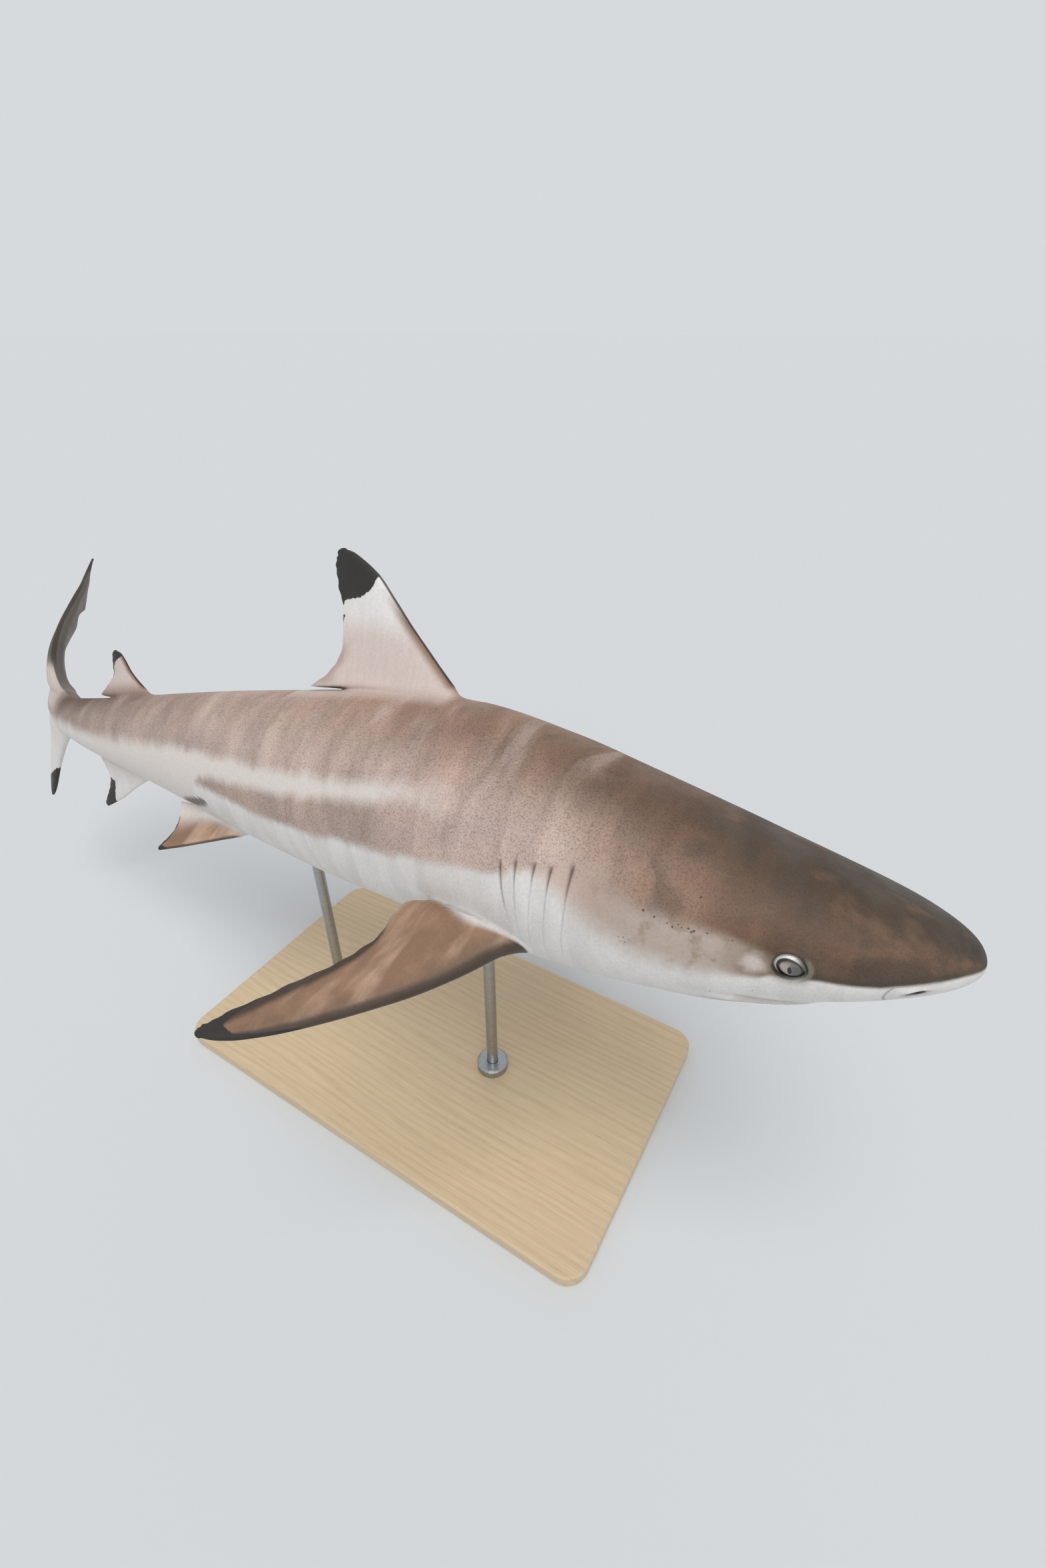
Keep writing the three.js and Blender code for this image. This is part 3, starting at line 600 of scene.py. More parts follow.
def gill_relief(s, angle):
    """Each slit is a crease behind the raised edge of a flap, shallow at its lower end."""
    up = elevation(angle)
    total = np.zeros(np.broadcast(s, angle).shape)
    for gill in GILLS:
        _, top_up, _, low_up = gill
        behind = (s - slit_line(gill, up)) * TOTAL_LENGTH / MM
        crease = -GILL_CREASE[0] * np.exp(-np.maximum(behind, 0) / GILL_CREASE[1]) * (behind >= 0)
        flap = GILL_FLAP[0] * bump(behind, 0, GILL_FLAP[1]) * (behind < 0)
        span = ease(low_up - 3, low_up + 9, up) * fade(top_up - 4, top_up + 3, up)
        total += (crease + flap) * span * (0.15 + 0.85 * ease(-12, -2, up))
    return total


def mouth_distance(s, a):
    """Millimetres behind the line of the mouth, and how far that line reaches there."""
    deep = MOUTH_CORNER - MOUTH_FRONT
    across = np.abs(a) / MOUTH_HALF_WIDTH
    behind = s - MOUTH_FRONT - deep * across**MOUTH_ROUNDNESS
    slope = MOUTH_ROUNDNESS * deep / MOUTH_HALF_WIDTH * across ** (MOUTH_ROUNDNESS - 1)
    reach = fade(MOUTH_HALF_WIDTH - 0.002, MOUTH_HALF_WIDTH + 0.002, np.abs(a))
    return behind * TOTAL_LENGTH / MM / np.hypot(1, slope), reach


def mouth_relief(s, angle):
    """The groove of the mouth between its lips, and the swell of the lower jaw behind it."""
    a, _ = section(s, angle)
    behind, reach = mouth_distance(s, a)
    groove = -MOUTH_GROOVE[0] * bump(behind, 0, MOUTH_GROOVE[1])
    lips = UPPER_LIP[0] * bump(behind, -LIP_DISTANCE, UPPER_LIP[1])
    lips = lips + LOWER_LIP[0] * bump(behind, LIP_DISTANCE, LOWER_LIP[1])
    width = fade(0.85, 1.15, np.abs(a) / MOUTH_HALF_WIDTH)
    jaw = JAW_SWELL * ease(1, 6, behind) * fade(0.105, 0.150, s) * width
    return ((groove + lips) * reach + jaw) * (np.sin(angle) < 0)


def swelling(design, s, up):
    height, middle_s, width_s, middle_up, width_up = design
    return height * bump(s, middle_s, width_s) * bump(up, middle_up, width_up)


def head_relief(s, angle):
    """Brow, the rims of the eyes and the flaps of the nostrils."""
    up = elevation(angle)
    total = swelling(BROW, s, up) - swelling(HOLLOW_BEFORE_EYE, s, up)
    for eye in EYES:
        reach = eye.reach(s, angle)
        total = total + 0.5 * bump(reach, 1.12, 0.13) + 0.7 * bump(reach, 0, 2.0)
    for nostril in NOSTRILS:
        x, y = nostril.local(s, angle)
        total = total + 0.5 * bump(nostril.reach(s, angle), 1.5, 0.5)
        total = total + 1.0 * (bump(x / MM, -4.0, 5.0) * bump(y / MM, 3.2, 1.5))
    return total


def stem_relief(s, angle):
    """The notch across the back and the belly just before the tail fin."""
    across = ease(0.80, 0.97, np.abs(np.sin(angle)))
    return -STEM_NOTCH[0] * bump((s - STEM_NOTCH_S) * TOTAL_LENGTH / MM, 0, STEM_NOTCH[1]) * across


def skin_point(s, angle, lift=0.0):
    """A point of the skin: the plain surface, its relief in millimetres, and a lift in metres."""
    relief = head_relief(s, angle) + mouth_relief(s, angle) + gill_relief(s, angle) + stem_relief(s, angle)
    height = relief * MM + lift
    return plain_surface(s, angle) + height[..., None] * surface_normal(s, angle)


# ---- fins


def fin_section(angle, thickness, gather, widest=0.5):
    """How far along the chord from rear to front, and the half-thickness."""
    rise, across = np.sin(angle), np.cos(angle)
    along = np.where(rise < 0, widest * (1 + rise), widest + (1 - widest) * rise)
    peak = gather / (1 + gather)
    scale = np.sqrt(1 - peak**2) * ((1 + peak) / 2) ** gather
    gathered = across * np.maximum((1 + rise) / 2, 1e-9) ** gather / scale
    edge = FIN_EDGE * (np.sign(across) * np.abs(across) ** 0.25)
    return along, thickness * gathered + np.where(gather > 0, edge, 0)


def rung_table(rungs):
    return smooth_table([[index, *row] for index, row in enumerate(rungs)])


lobe_table = rung_table(UPPER_LOBE)
lobe_back_edge = curve([[row[1], row[0]] for row in UPPER_LOBE])


def lobe_side(s, b):
    """How far the upper lobe leans to the left at a place on it."""
    height = np.maximum(b, 0) / LOBE_TIP_HEIGHT
    behind = np.maximum(s - lobe_back_edge(b), 0)
    return LOBE_LEAN[0] * height + LOBE_LEAN[1] * height**2 + LOBE_CURL * behind * height


def lobe_ring(rung, angle, shrink=1.0, shift=0.0):
    """A ring of the upper lobe. shrink and shift round off its tip."""
    front_s, front_b, rear_s, rear_b, thickness, gather = lobe_table(np.array(float(rung)))
    widest = LOBE_WIDEST[0] + (LOBE_WIDEST[1] - LOBE_WIDEST[0]) * ease(0, 4, rung)
    along, thick = fin_section(angle, thickness, gather, widest)
    along = 0.5 + (along - 0.5) * shrink
    ripple = LOBE_RIPPLE * np.sin(rung * 5.3) * np.sin(rung * 2.1 + 1) * ease(3, 5, rung)
    ripple = ripple * (1 - along) ** 2
    s = rear_s + (front_s - rear_s) * along + ripple + LOBE_TIP_BACK * shift
    b = rear_b + (front_b - rear_b) * along + shift
    return body_point(s, thick * shrink + lobe_side(s, b), b)


def on_back(s, height, thick):
    return s, thick, profile(s)[0] + height


def on_belly(s, height, thick):
    return s, thick, -profile(s)[1] - height


def on_axis(s, height, thick):
    return s, thick, height


def on_side(seat, side):
    c, d = math.cos(math.radians(seat["droop"])), math.sin(math.radians(seat["droop"]))

    def place(s, out, thick):
        a = side * (seat["out"] + out * c + thick * d)
        b = -seat["down"] - out * d + thick * c + seat["rise"] * (s - seat["front"])
        return s, a, b

    return place


def fin_rings(rungs, thickness, place, rows, sides, ripple):
    """Rings of a fin from its root inside the body to its rounded tip."""
    table = rung_table(rungs)
    last = len(rungs) - 1
    angle = np.arange(sides) * 2 * math.pi / sides
    root_height = rungs[1][1]
    sign = math.copysign(1, rungs[-1][1] - root_height)
    rings = []
    for row in range(rows + TIP_ROWS):
        rung = last * min(row / (rows - 1), 1)
        front_s, front_h, rear_s, rear_h = table(np.array(rung))
        half = thickness[0] + (thickness[1] - thickness[0]) * (rung / last)
        outward = abs(front_h - root_height)
        half = half * (1 + ROOT_FLARE * math.exp(-outward / ROOT_FLARE_HEIGHT))
        turn = max(row - rows + 1, 0) / TIP_ROWS * math.pi / 2
        shrink, shift = max(math.cos(turn), FIN_TIP_SMALLEST), math.sin(turn)
        along, thick = fin_section(angle, half, FIN_GATHER)
        along = 0.5 + (along - 0.5) * shrink
        chord = math.hypot(front_s - rear_s, front_h - rear_h)
        wave = ripple * math.sin(rung * 6.1) * math.sin(rung * 2.3 + 0.7) * (1 - along) ** 2
        s = rear_s + (front_s - rear_s) * along + wave + FIN_TIP_BACK * chord * shift
        h = rear_h + (front_h - rear_h) * along + sign * FIN_TIP_OUT * chord * shift
        rings.append(body_point(*place(s, h, thick * shrink)))
    return rings


# ---- mesh building


def add_object(name, data):
    made = bpy.data.objects.new(name, data)
    bpy.context.scene.collection.objects.link(made)
    return made


class Shell:
    """Vertices and faces of one closed skin, gathered piece by piece."""

    def __init__(self):
        self.points, self.faces, self.count = [], [], 0

    def add(self, points):
        """Adds points and gives their numbers."""
        points = np.asarray(points, float).reshape(-1, 3)
        self.points.append(points)
        self.count += len(points)
        return np.arange(self.count - len(points), self.count)

    def strip(self, one, two, skip=()):
        """Quads between two rings of equal count. skip holds the places left open."""
        for k in range(len(one)):
            if k not in skip:
                n = (k + 1) % len(one)
                self.faces.append((one[k], one[n], two[n], two[k]))

    def grow(self, ring, points):
        """Adds a ring and joins it to the one before."""
        inner = self.add(points)
        self.strip(ring, inner)
        return inner

    def halve(self, one, two):
        """Joins a ring to one with half as many points."""
        sides = len(two)
        for k in range(sides):
            n = (k + 1) % sides
            self.faces.append((one[2 * k], one[2 * k + 1], two[k]))
            self.faces.append((one[2 * k + 1], two[n], two[k]))
            self.faces.append((one[2 * k + 1], one[(2 * k + 2) % (2 * sides)], two[n]))

    def fan(self, ring, middle, flip=False):
        """Triangles from a ring to a point in its middle."""
        middle = self.add(middle)[0]
        for k in range(len(ring)):
            pair = (ring[k], ring[(k + 1) % len(ring)])
            self.faces.append((pair[1], pair[0], middle) if flip else (*pair, middle))

    def tube(self, rings, start, end):
        """A skin through all of the rings, closed at a point at each end."""
        first = ring = self.add(rings[0])
        for points in rings[1:]:
            ring = self.grow(ring, points)
        self.fan(first, start, flip=True)
        self.fan(ring, end)

    def mesh(self, name, material_index=0):
        """An object of the shell, its faces turned outwards."""
        points = np.vstack(self.points)
        corners = [(face[0], *face[i:i + 2]) for face in self.faces for i in range(1, len(face) - 1)]
        p, q, r = points[np.array(corners)].transpose(1, 0, 2)
        faces = self.faces if np.sum(p * np.cross(q, r)) > 0 else [face[::-1] for face in self.faces]
        data = bpy.data.meshes.new(name)
        data.from_pydata(points.tolist(), [], [[int(v) for v in face] for face in faces])
        for part in ("part_0", "part_1"):
            data.materials.append(bpy.data.materials.get(part) or bpy.data.materials.new(part))
        data.polygons.foreach_set("material_index", [material_index] * len(data.polygons))
        return add_object(name, data)


def ring_angles(sides, crowding):
    turn = np.arange(sides) * 2 * math.pi / sides
    return turn + crowding / 2 * np.sin(2 * turn) - math.pi / 2


def spaced(start, end, spacing):
    """Stations from start up to but without end, about spacing apart, in metres."""
    count = max(1, round((end - start) * TOTAL_LENGTH / spacing))
    return list(start + (end - start) * np.arange(count) / count)


def head_rows(angle):
    """s at every point of every ring from the snout to the end of the gills."""
    rows = [(SNOUT_END * (i / SNOUT_ROWS) ** 2) for i in range(1, SNOUT_ROWS)]
    for start, end, spacing in HEAD_SPACING:
        rows += spaced(start, end, spacing)
    rows = [np.full(len(angle), s) for s in rows]
    slits = [slit_line(gill, elevation(angle)) for gill in GILLS]
    lines = [np.full(len(angle), GILL_ZONE[0]), *slits, np.full(len(angle), GILL_ZONE[1])]
    steps = [BEFORE_SLITS] + [BETWEEN_SLITS] * (len(GILLS) - 1) + [AFTER_SLITS]
    for one, two, fractions in zip(lines, lines[1:], steps):
        rows += [one + f * (two - one) for f in fractions]
    return np.array(rows)


def window(rows, angle, spot, half_length, half_height):
    """First and last row and column of the part of the grid round a spot."""
    ahead, over = turned(*spot.local(rows, angle[None, :]), spot.tilt)
    row, column = np.nonzero((np.abs(ahead) < half_length) & (np.abs(over) < half_height))
    return row.min(), row.max(), column.min(), column.max()


def border(first_row, last_row, first_column, last_column):
    """The grid places round a window, in order."""
    top = [(first_row, k) for k in range(first_column, last_column)]
    right = [(r, last_column) for r in range(first_row, last_row)]
    bottom = [(last_row, k) for k in range(last_column, first_column, -1)]
    left = [(r, first_column) for r in range(last_row, first_row, -1)]
    return top + right + bottom + left


def oval_patch(shell, grid, rows, angle, spot, edges, wall):
    """Fills a window of the grid with loops that turn from its border into the spot's oval.
    wall lists the loops inside the oval: its share of the oval's size, and its height."""
    r, k = np.array(border(*edges)).T
    ring = grid[r, k]
    x, y = spot.local(rows[r, k], angle[k])
    course = np.arctan2(y / spot.half_sizes[1], x / spot.half_sizes[0])
    oval_x, oval_y = spot.half_sizes[0] * np.cos(course), spot.half_sizes[1] * np.sin(course)
    for share in (0.2, 0.38, 0.54, 0.67, 0.78, 0.87, 0.94, 1.0):
        place = spot.place(x + (oval_x - x) * share, y + (oval_y - y) * share)
        ring = shell.grow(ring, skin_point(*place))
    for size, height in wall:
        ring = shell.grow(ring, skin_point(*spot.place(oval_x * size, oval_y * size), lift=height))
    shell.fan(ring, spot.point + wall[-1][1] * spot.normal)


def body_shell():
    """The skin of the head, trunk, tail stem and upper lobe of the tail fin."""
    shell = Shell()
    angle = ring_angles(HEAD_SIDES, SIDE_CROWDING)
    rows = head_rows(angle)
    grid = shell.add(skin_point(rows, np.broadcast_to(angle, rows.shape))).reshape(rows.shape)
    spots = [(eye, *EYE_WINDOW, LID_WALL) for eye in EYES]
    spots += [(nostril, *NOSTRIL_WINDOW, NOSTRIL_WALL) for nostril in NOSTRILS]
    open_faces = set()
    for spot, half_length, half_height, wall in spots:
        edges = window(rows, angle, spot, half_length, half_height)
        oval_patch(shell, grid, rows, angle, spot, edges, wall)
        open_faces |= {(r, k) for r in range(edges[0], edges[1]) for k in range(edges[2], edges[3])}
    for r in range(len(rows) - 1):
        shell.strip(grid[r], grid[r + 1], {k for row, k in open_faces if row == r})
    shell.fan(grid[0], spine_frame(np.array(0.0))[0], flip=True)

    ring = grid[-1]
    for index, s in enumerate(spaced(GILL_ZONE[1], TRUNK_END, TRUNK_SPACING) + [TRUNK_END]):
        turn = ring_angles(TRUNK_SIDES, SIDE_CROWDING * fade(0.24, 0.33, s))
        inner = shell.add(skin_point(np.full(TRUNK_SIDES, s), turn))
        join = shell.halve if index == 0 else shell.strip
        join(ring, inner)
        ring = inner
    turn = ring_angles(TRUNK_SIDES, 0)
    for row in range(1, LOBE_ROWS + TIP_ROWS):
        bend = max(row - LOBE_ROWS, 0) / TIP_ROWS * math.pi / 2
        rung = (len(UPPER_LOBE) - 1) * min(row / LOBE_ROWS, 1)
        ring = shell.grow(ring, lobe_ring(rung, turn, math.cos(bend), LOBE_TIP_ROUND * math.sin(bend)))
    shell.fan(ring, np.mean(shell.points[-1], axis=0))
    return shell.mesh("skin", 0)


def fin_pieces():
    """The fins, each a closed skin whose root is inside the body. A row is a fin's name, rungs,
    half-thickness, place, count of rows and of points round, and the ripple of its rear edge."""
    fins = [
        ("first_dorsal", FIRST_DORSAL, FIRST_DORSAL_THICKNESS, on_back, 56, 52, 0.0008),
        ("second_dorsal", SECOND_DORSAL, SECOND_DORSAL_THICKNESS, on_back, 34, 36, 0.0005),
        ("anal", ANAL, ANAL_THICKNESS, on_belly, 36, 36, 0.0005),
        ("lower_lobe", LOWER_LOBE, LOWER_LOBE_THICKNESS, on_axis, 40, 40, 0.0006),
    ]
    for side in SIDES:
        fins += [
            ("pectoral", PECTORAL, PECTORAL_THICKNESS, on_side(PECTORAL_SEAT, side), 66, 52, 0.0008),
            ("pelvic", PELVIC, PELVIC_THICKNESS, on_side(PELVIC_SEAT, side), 38, 40, 0.0005),
        ]
    pieces = []
    for name, *design in fins:
        rings = fin_rings(*design)
        shell = Shell()
        shell.tube(rings, rings[0].mean(0), rings[-1].mean(0))
        pieces.append(shell.mesh(name, 1))
    return pieces


def join_by_union(body, parts):
    for part in parts:
        union = body.modifiers.new("union", "BOOLEAN")
        union.operation = "UNION"
        union.solver = "MANIFOLD"
        union.object = part
        bpy.context.view_layer.objects.active = body
        bpy.ops.object.modifier_apply(modifier=union.name)
        bpy.data.objects.remove(part)


def soften_joins(data):
    """Rounds the creases where the fins leave the body, and gives the new points."""
    def at_join(vertex):
        return len({face.material_index for face in vertex.link_faces}) > 1

    mesh = bmesh.new()
    mesh.from_mesh(data)
    bmesh.ops.remove_doubles(mesh, verts=[v for v in mesh.verts if at_join(v)], dist=JOIN_WELD)
    mesh.verts.ensure_lookup_table()
    mesh.verts.index_update()
    edges = np.array([[v.index for v in edge.verts] for edge in mesh.edges])
    weight = np.array([float(at_join(v)) for v in mesh.verts])
    both_ways = ((0, 1), (1, 0))
    for _ in range(JOIN_REACH):
        spread = weight.copy()
        for here, there in both_ways:
            np.maximum.at(spread, edges[:, here], weight[edges[:, there]] * JOIN_FADE)
        weight = spread
    active = np.nonzero(weight > 0)[0]
    near = edges[(weight[edges] > 0).any(axis=1)]
    neighbours = np.bincount(near.ravel(), minlength=len(weight))
    points = np.array([v.co for v in mesh.verts])
    for _ in range(JOIN_PASSES):
        total = np.zeros_like(points)
        for here, there in both_ways:
            np.add.at(total, near[:, here], points[near[:, there]])
        mean = total[active] / neighbours[active][:, None]
        points[active] += JOIN_PULL * weight[active][:, None] * (mean - points[active])
    for v in mesh.verts:
        v.co = points[v.index]
    mesh.to_mesh(data)
    mesh.free()
    return points


# ---- markings


def body_coordinates(points):
    """s, a and b of each point: where its foot on the spine is, and its offsets there."""
    sparse = slice(None, None, 4)
    block = 4000
    rounds, stride = 14, 0.9
    s = np.empty(len(points))
    for first in range(0, len(points), block):
        some = slice(first, first + block)
        gaps = np.linalg.norm(points[some, None] - spine_points[sparse][None], axis=2)
        s[some] = spine_s[sparse][gaps.argmin(axis=1)]
    for _ in range(rounds):
        foot, ahead, _, _ = spine_frame(s)
        s = np.clip(s - np.sum((points - foot) * ahead, axis=1) / TOTAL_LENGTH * stride, 0, SPINE_END)
    foot, _, left, up = spine_frame(s)
    return s, *(np.sum((points - foot) * way, axis=1) / TOTAL_LENGTH for way in (left, up))


brown_edge = smooth_table(BROWN_EDGE)
cheek_edge = smooth_table(CHEEK_EDGE)
stripe_edges = smooth_table(STRIPE)
first_dorsal_black = curve(FIRST_DORSAL_BLACK)
second_dorsal_black = curve(SECOND_DORSAL_BLACK)
pectoral_trail = curve(PECTORAL_TRAIL)


def inside(s, span):
    return (s > span[0]) & (s < span[1])


def edge_curve(rungs, columns, first):
    """s of a fin's front or rear edge as a function of height, from rung number first up."""
    s_column, height_column = columns
    return curve(sorted([abs(rung[height_column]), rung[s_column]] for rung in rungs[first:]))


class Marks:
    """The skin's attributes, built up region by region. Distances are in millimetres."""

    def __init__(self, points):
        self.s, self.a, self.b = body_coordinates(points)
        self.trunk = np.minimum(self.s, TRUNK_END)
        self.top, self.bottom, half = profile(self.trunk)
        above = self.b > 0
        up = self.b / np.maximum(np.where(above, self.top, self.bottom), TINY)
        across = self.a / np.maximum(half, TINY)
        self.angle = np.arctan2(up, across)
        self.up = elevation(self.angle)
        power = np.where(above, round_above(self.trunk), round_below(self.trunk))
        gauge = (np.abs(across) ** power + np.abs(up) ** power) ** (1 / power)
        self.outside = np.hypot(self.a, self.b) * (1 - 1 / np.maximum(gauge, 1e-3)) * TO_MM
        self.outside[self.s > TRUNK_END] = 0
        self.values = {name: np.full(len(points), start) for name, start in MARKS_START.items()}

    def lay(self, name, mask, value, blend=np.maximum):
        """Lays a mark on one region: by default the larger value wins."""
        old = self.values[name]
        old[mask] = blend(old[mask], value[mask])

    def lengthwise(self, share):
        return np.where(share > 0, share * self.top, share * self.bottom)

    def past_edge(self, table):
        """Millimetres above an edge of the body's colours, and the blur of that edge."""
        edge, blur = np.moveaxis(table(self.trunk), -1, 0)
        return (self.b - self.lengthwise(edge)) * TO_MM, blur

    def body_colours(self):
        """Distances past the edges of the brown, the cheek and the stripe, in blurs."""
        s, b, values = self.s, self.b, self.values
        brown, blur = self.past_edge(brown_edge)
        ahead_of_slits = sum(bump((slit_line(gill, self.up) - s) * TO_MM, 3, 3.2) for gill in GILLS)
        brown = brown + 3 * ahead_of_slits * ease(0.17, 0.18, s) * fade(0.23, 0.24, s)
        values["brown"] = brown / blur
        cheek, blur = self.past_edge(cheek_edge)
        values["cheek"] = np.where(s < GILL_ZONE[1], cheek / blur, -FAR)
        high, low, blur = np.moveaxis(stripe_edges(self.trunk), -1, 0)
        stripe = np.minimum(self.lengthwise(high) - b, b - self.lengthwise(low))
        stripe = np.minimum(stripe, (s - STRIPE_START) * STRIPE_TAPER) * TO_MM / blur
        values["stripe"] = np.where(s < STRIPE_END, stripe, -FAR)
        values["back"] = ease(0.35, 1.0, b / np.maximum(self.top, TINY))

    def eyes(self):
        """The lids, the pale front corner and the pale patch behind each eye."""
        near = self.s < HEAD_END
        for eye in EYES:
            x, y = eye.local(self.s, self.angle)
            across, over = x / eye.half_sizes[0], y / eye.half_sizes[1]
            x, y = x / MM, y / MM
            rim = (np.hypot(across, over) - 1) * eye.half_sizes[1] / MM
            self.lay("lid", near, rim, np.minimum)
            lower_rear = bump(np.degrees(np.arctan2(over, -across)), -40, 60)
            self.lay("lash", near, fade(0.2, 1.0, rim) * (0.38 + 0.55 * lower_rear) * fade(3, 8, x))
            self.lay("corner", near, 0.8 * (ease(4.5, 8.5, x) * fade(1.2, 3.2, rim) * fade(11.5, 14, x)))
            patch = np.hypot((x + 19) / 9.5, (y + 5.5 - 0.12 * (x + 19)) / 8)
            self.lay("patch", near, 1 - patch)

    def nostrils(self):
        """The slits, and the folds beside them."""
        near = self.s < HEAD_END
        for nostril in NOSTRILS:
            rim = (nostril.reach(self.s, self.angle) - 1) * nostril.half_sizes[1] / MM
            self.lay("nostril", near, rim, np.minimum)
            x, y = nostril.local(self.s, self.angle)
            oval = np.hypot(x / NOSTRIL_FLAP[0], y / NOSTRIL_FLAP[1]) - 1
            self.lay("flap", near, oval * NOSTRIL_FLAP[1] / MM, np.minimum)
            self.lay("fold", near, fade(-9, 1, x / MM) * ease(-5, -2, y / MM))

    def mouth_and_gills(self):
        """The lines of the mouth and the gill slits, the lower jaw, and painted shade at the top of each
        gill slit.
        """
        s, up = self.s, self.up
        behind, reach = mouth_distance(s, self.a)
        mouth = np.abs(behind) + FAR * (1 - reach)
        self.lay("mouth", (s < HEAD_END) & (self.b < 0), mouth, np.minimum)
        width = fade(0.85, 1.1, np.abs(self.a) / MOUTH_HALF_WIDTH)
        self.lay("jaw", (s < 0.15) & (self.b < 0), ease(1, 5, behind) * fade(0.100, 0.135, s) * width)
        for gill, (high, low) in zip(GILLS, GILL_SHADE_SPAN):
            behind = (s - slit_line(gill, up)) * TO_MM
            share = np.clip((up - low) / (high - low), 0, 1)
            line = bump(behind, 0.9, 0.4 + 1.3 * share) * ease(low - 3, low + 5, up)
            line = line * fade(high - 1, high + 3, up)
            self.lay("gill", inside(s, (0.17, 0.24)), line * (0.5 + 0.5 * share))

    def middle_fins(self):
        """Pale with a brown blush at the edges, a dark rim and a black tip, and a painted shadow on the
        back under the first dorsal fin's free rear tip.
        """
        s, side = self.s, np.abs(self.a)
        over, under = self.b - self.top, -self.b - self.bottom

        fin = inside(s, FIRST_DORSAL_SPAN) & (over > -0.012) & (side < 0.024)
        front = (s - edge_curve(FIRST_DORSAL, FRONT, 1)(over)) * TO_MM * FIRST_DORSAL_SLANT
        rear = (edge_curve(FIRST_DORSAL, REAR, 3)(over) - s) * TO_MM
        pale = ease(-0.010, 0.008, over) * fade(0.012, 0.022, side)
        self.lay("pale", fin, pale * ease(-2, 8, front + 400 * np.maximum(over, 0)))
        spot = 1.2 - np.hypot((s - 0.4133) * TO_MM, (over - 0.0512) * TO_MM / 2.6)
        for black in ((over - first_dorsal_black(s)) * TO_MM, spot):
            self.lay("black", fin, np.where(over > 0.04, black, -FAR))
        root = ease(0.002, 0.008, over)
        self.lay("blush", fin, fade(0.5, 9.5, front) * fade(0.045, 0.072, over) * root)
        self.lay("blush", fin, 0.45 * fade(2, 16, rear) * fade(0.025, 0.038, over) * root)
        self.lay("rim", fin, fade(0.2, 1.5, front) * ease(0.004, 0.010, over) * (front > -3))
        # A painted shadow on the back under the fin's free rear tip, laid as dark rim.
        crease = ease(0.404, 0.414, s) * fade(0.440, 0.452, s) * bump(over, 0.0012, 0.0016)
        self.lay("rim", fin, crease * fade(0.004, 0.010, side))

        fin = inside(s, SECOND_DORSAL_SPAN) & (over > -0.003) & (side < 0.01)
        front = (s - edge_curve(SECOND_DORSAL, FRONT, 1)(over)) * TO_MM * SECOND_DORSAL_SLANT
        self.lay("pale", fin, 0.85 * ease(0.000, 0.009, over))
        black = (over - second_dorsal_black(s)) * TO_MM
        self.lay("black", fin, np.where(over > 0.012, black, -FAR))
        self.lay("blush", fin, fade(0.5, 5.0, front) * ease(0.002, 0.007, over))
        self.lay("blush", fin, 0.5 * fade(0.006, 0.016, over) * ease(0, 0.003, over))
        self.lay("rim", fin, fade(0.2, 1.3, front) * ease(0.004, 0.010, over) * (front > -3))

        fin = inside(s, ANAL_SPAN) & (under > 0) & (side < 0.01)
        run, rise = ANAL_BLACK_TO[0] - ANAL_BLACK_FROM[0], ANAL_BLACK_TO[1] - ANAL_BLACK_FROM[1]
        black = rise * (s - ANAL_BLACK_FROM[0]) - run * (under - ANAL_BLACK_FROM[1])
        black = black / math.hypot(run, rise) * TO_MM
        self.lay("black", fin, np.minimum(black, (under - 0.0215) * TO_MM))

    def paired(self, seat, rungs, side, span, slant):
        """Where one paired fin is, and on it: distance out, upper side, millimetres from its front
        and rear edges, and the share of the way from front to rear."""
        droop = math.radians(seat["droop"])
        rise = self.b + seat["down"] - seat["rise"] * (self.s - seat["front"])
        out, lift = turned(side * self.a - seat["out"], rise, droop)
        here = inside(self.s, span) & (self.a * side > 0) & (self.b < 0)
        here &= (self.outside > 0.3) & (np.abs(lift) < 0.02)
        front = (self.s - edge_curve(rungs, FRONT, 2)(out)) * TO_MM
        rear = (edge_curve(rungs, REAR, 3)(out) - self.s) * TO_MM
        share = front / np.maximum(front + rear, 1)
        return here, out, ease(-0.0008, 0.0008, lift), front * slant[0], rear * slant[1], share

    def pectoral(self, side):
        """Brown above, with a dark tip, front edge and rear margin, and painted shade in the crease where
        it leaves the body.
        """
        here, out, upper, front, rear, share = self.paired(
            PECTORAL_SEAT, PECTORAL, side, PECTORAL_SPAN, PECTORAL_SLANT)
        clear = ease(0.7, 2.2 + 9 * bump(share, 0.36, 0.2), self.outside)
        start = ease(-0.014, 0.002, out + 0.022 * fade(0, 22, front))
        self.lay("warm", here, upper * start * clear)
        # Painted shade in the crease where the fin leaves the body.
        crease = bump(self.outside, 1.5, 0.9) * ease(12, 32, front)
        self.lay("shade_mark", here, 0.55 * upper * crease)
        off_middle = (share - 0.45) / np.where(share < 0.45, 0.45, 0.55)
        line = 0.132 - 0.025 * np.abs(off_middle) ** np.where(off_middle < 0, 7, 2.5)
        self.lay("black", here, np.where(out > 0.09, (out - line) * TO_MM, -FAR))
        lead = fade(0.3, 2.6 + 6.4 * upper, front)
        shade = 0.40 * upper * fade(4, 20, front)
        trail = fade(0.2, 1.0, rear / pectoral_trail(out)) * ease(0.02, 0.05, out)
        edges = np.maximum(np.maximum(lead, trail), shade)
        self.lay("rim", here, edges * ease(-0.012, -0.002, out) * clear)

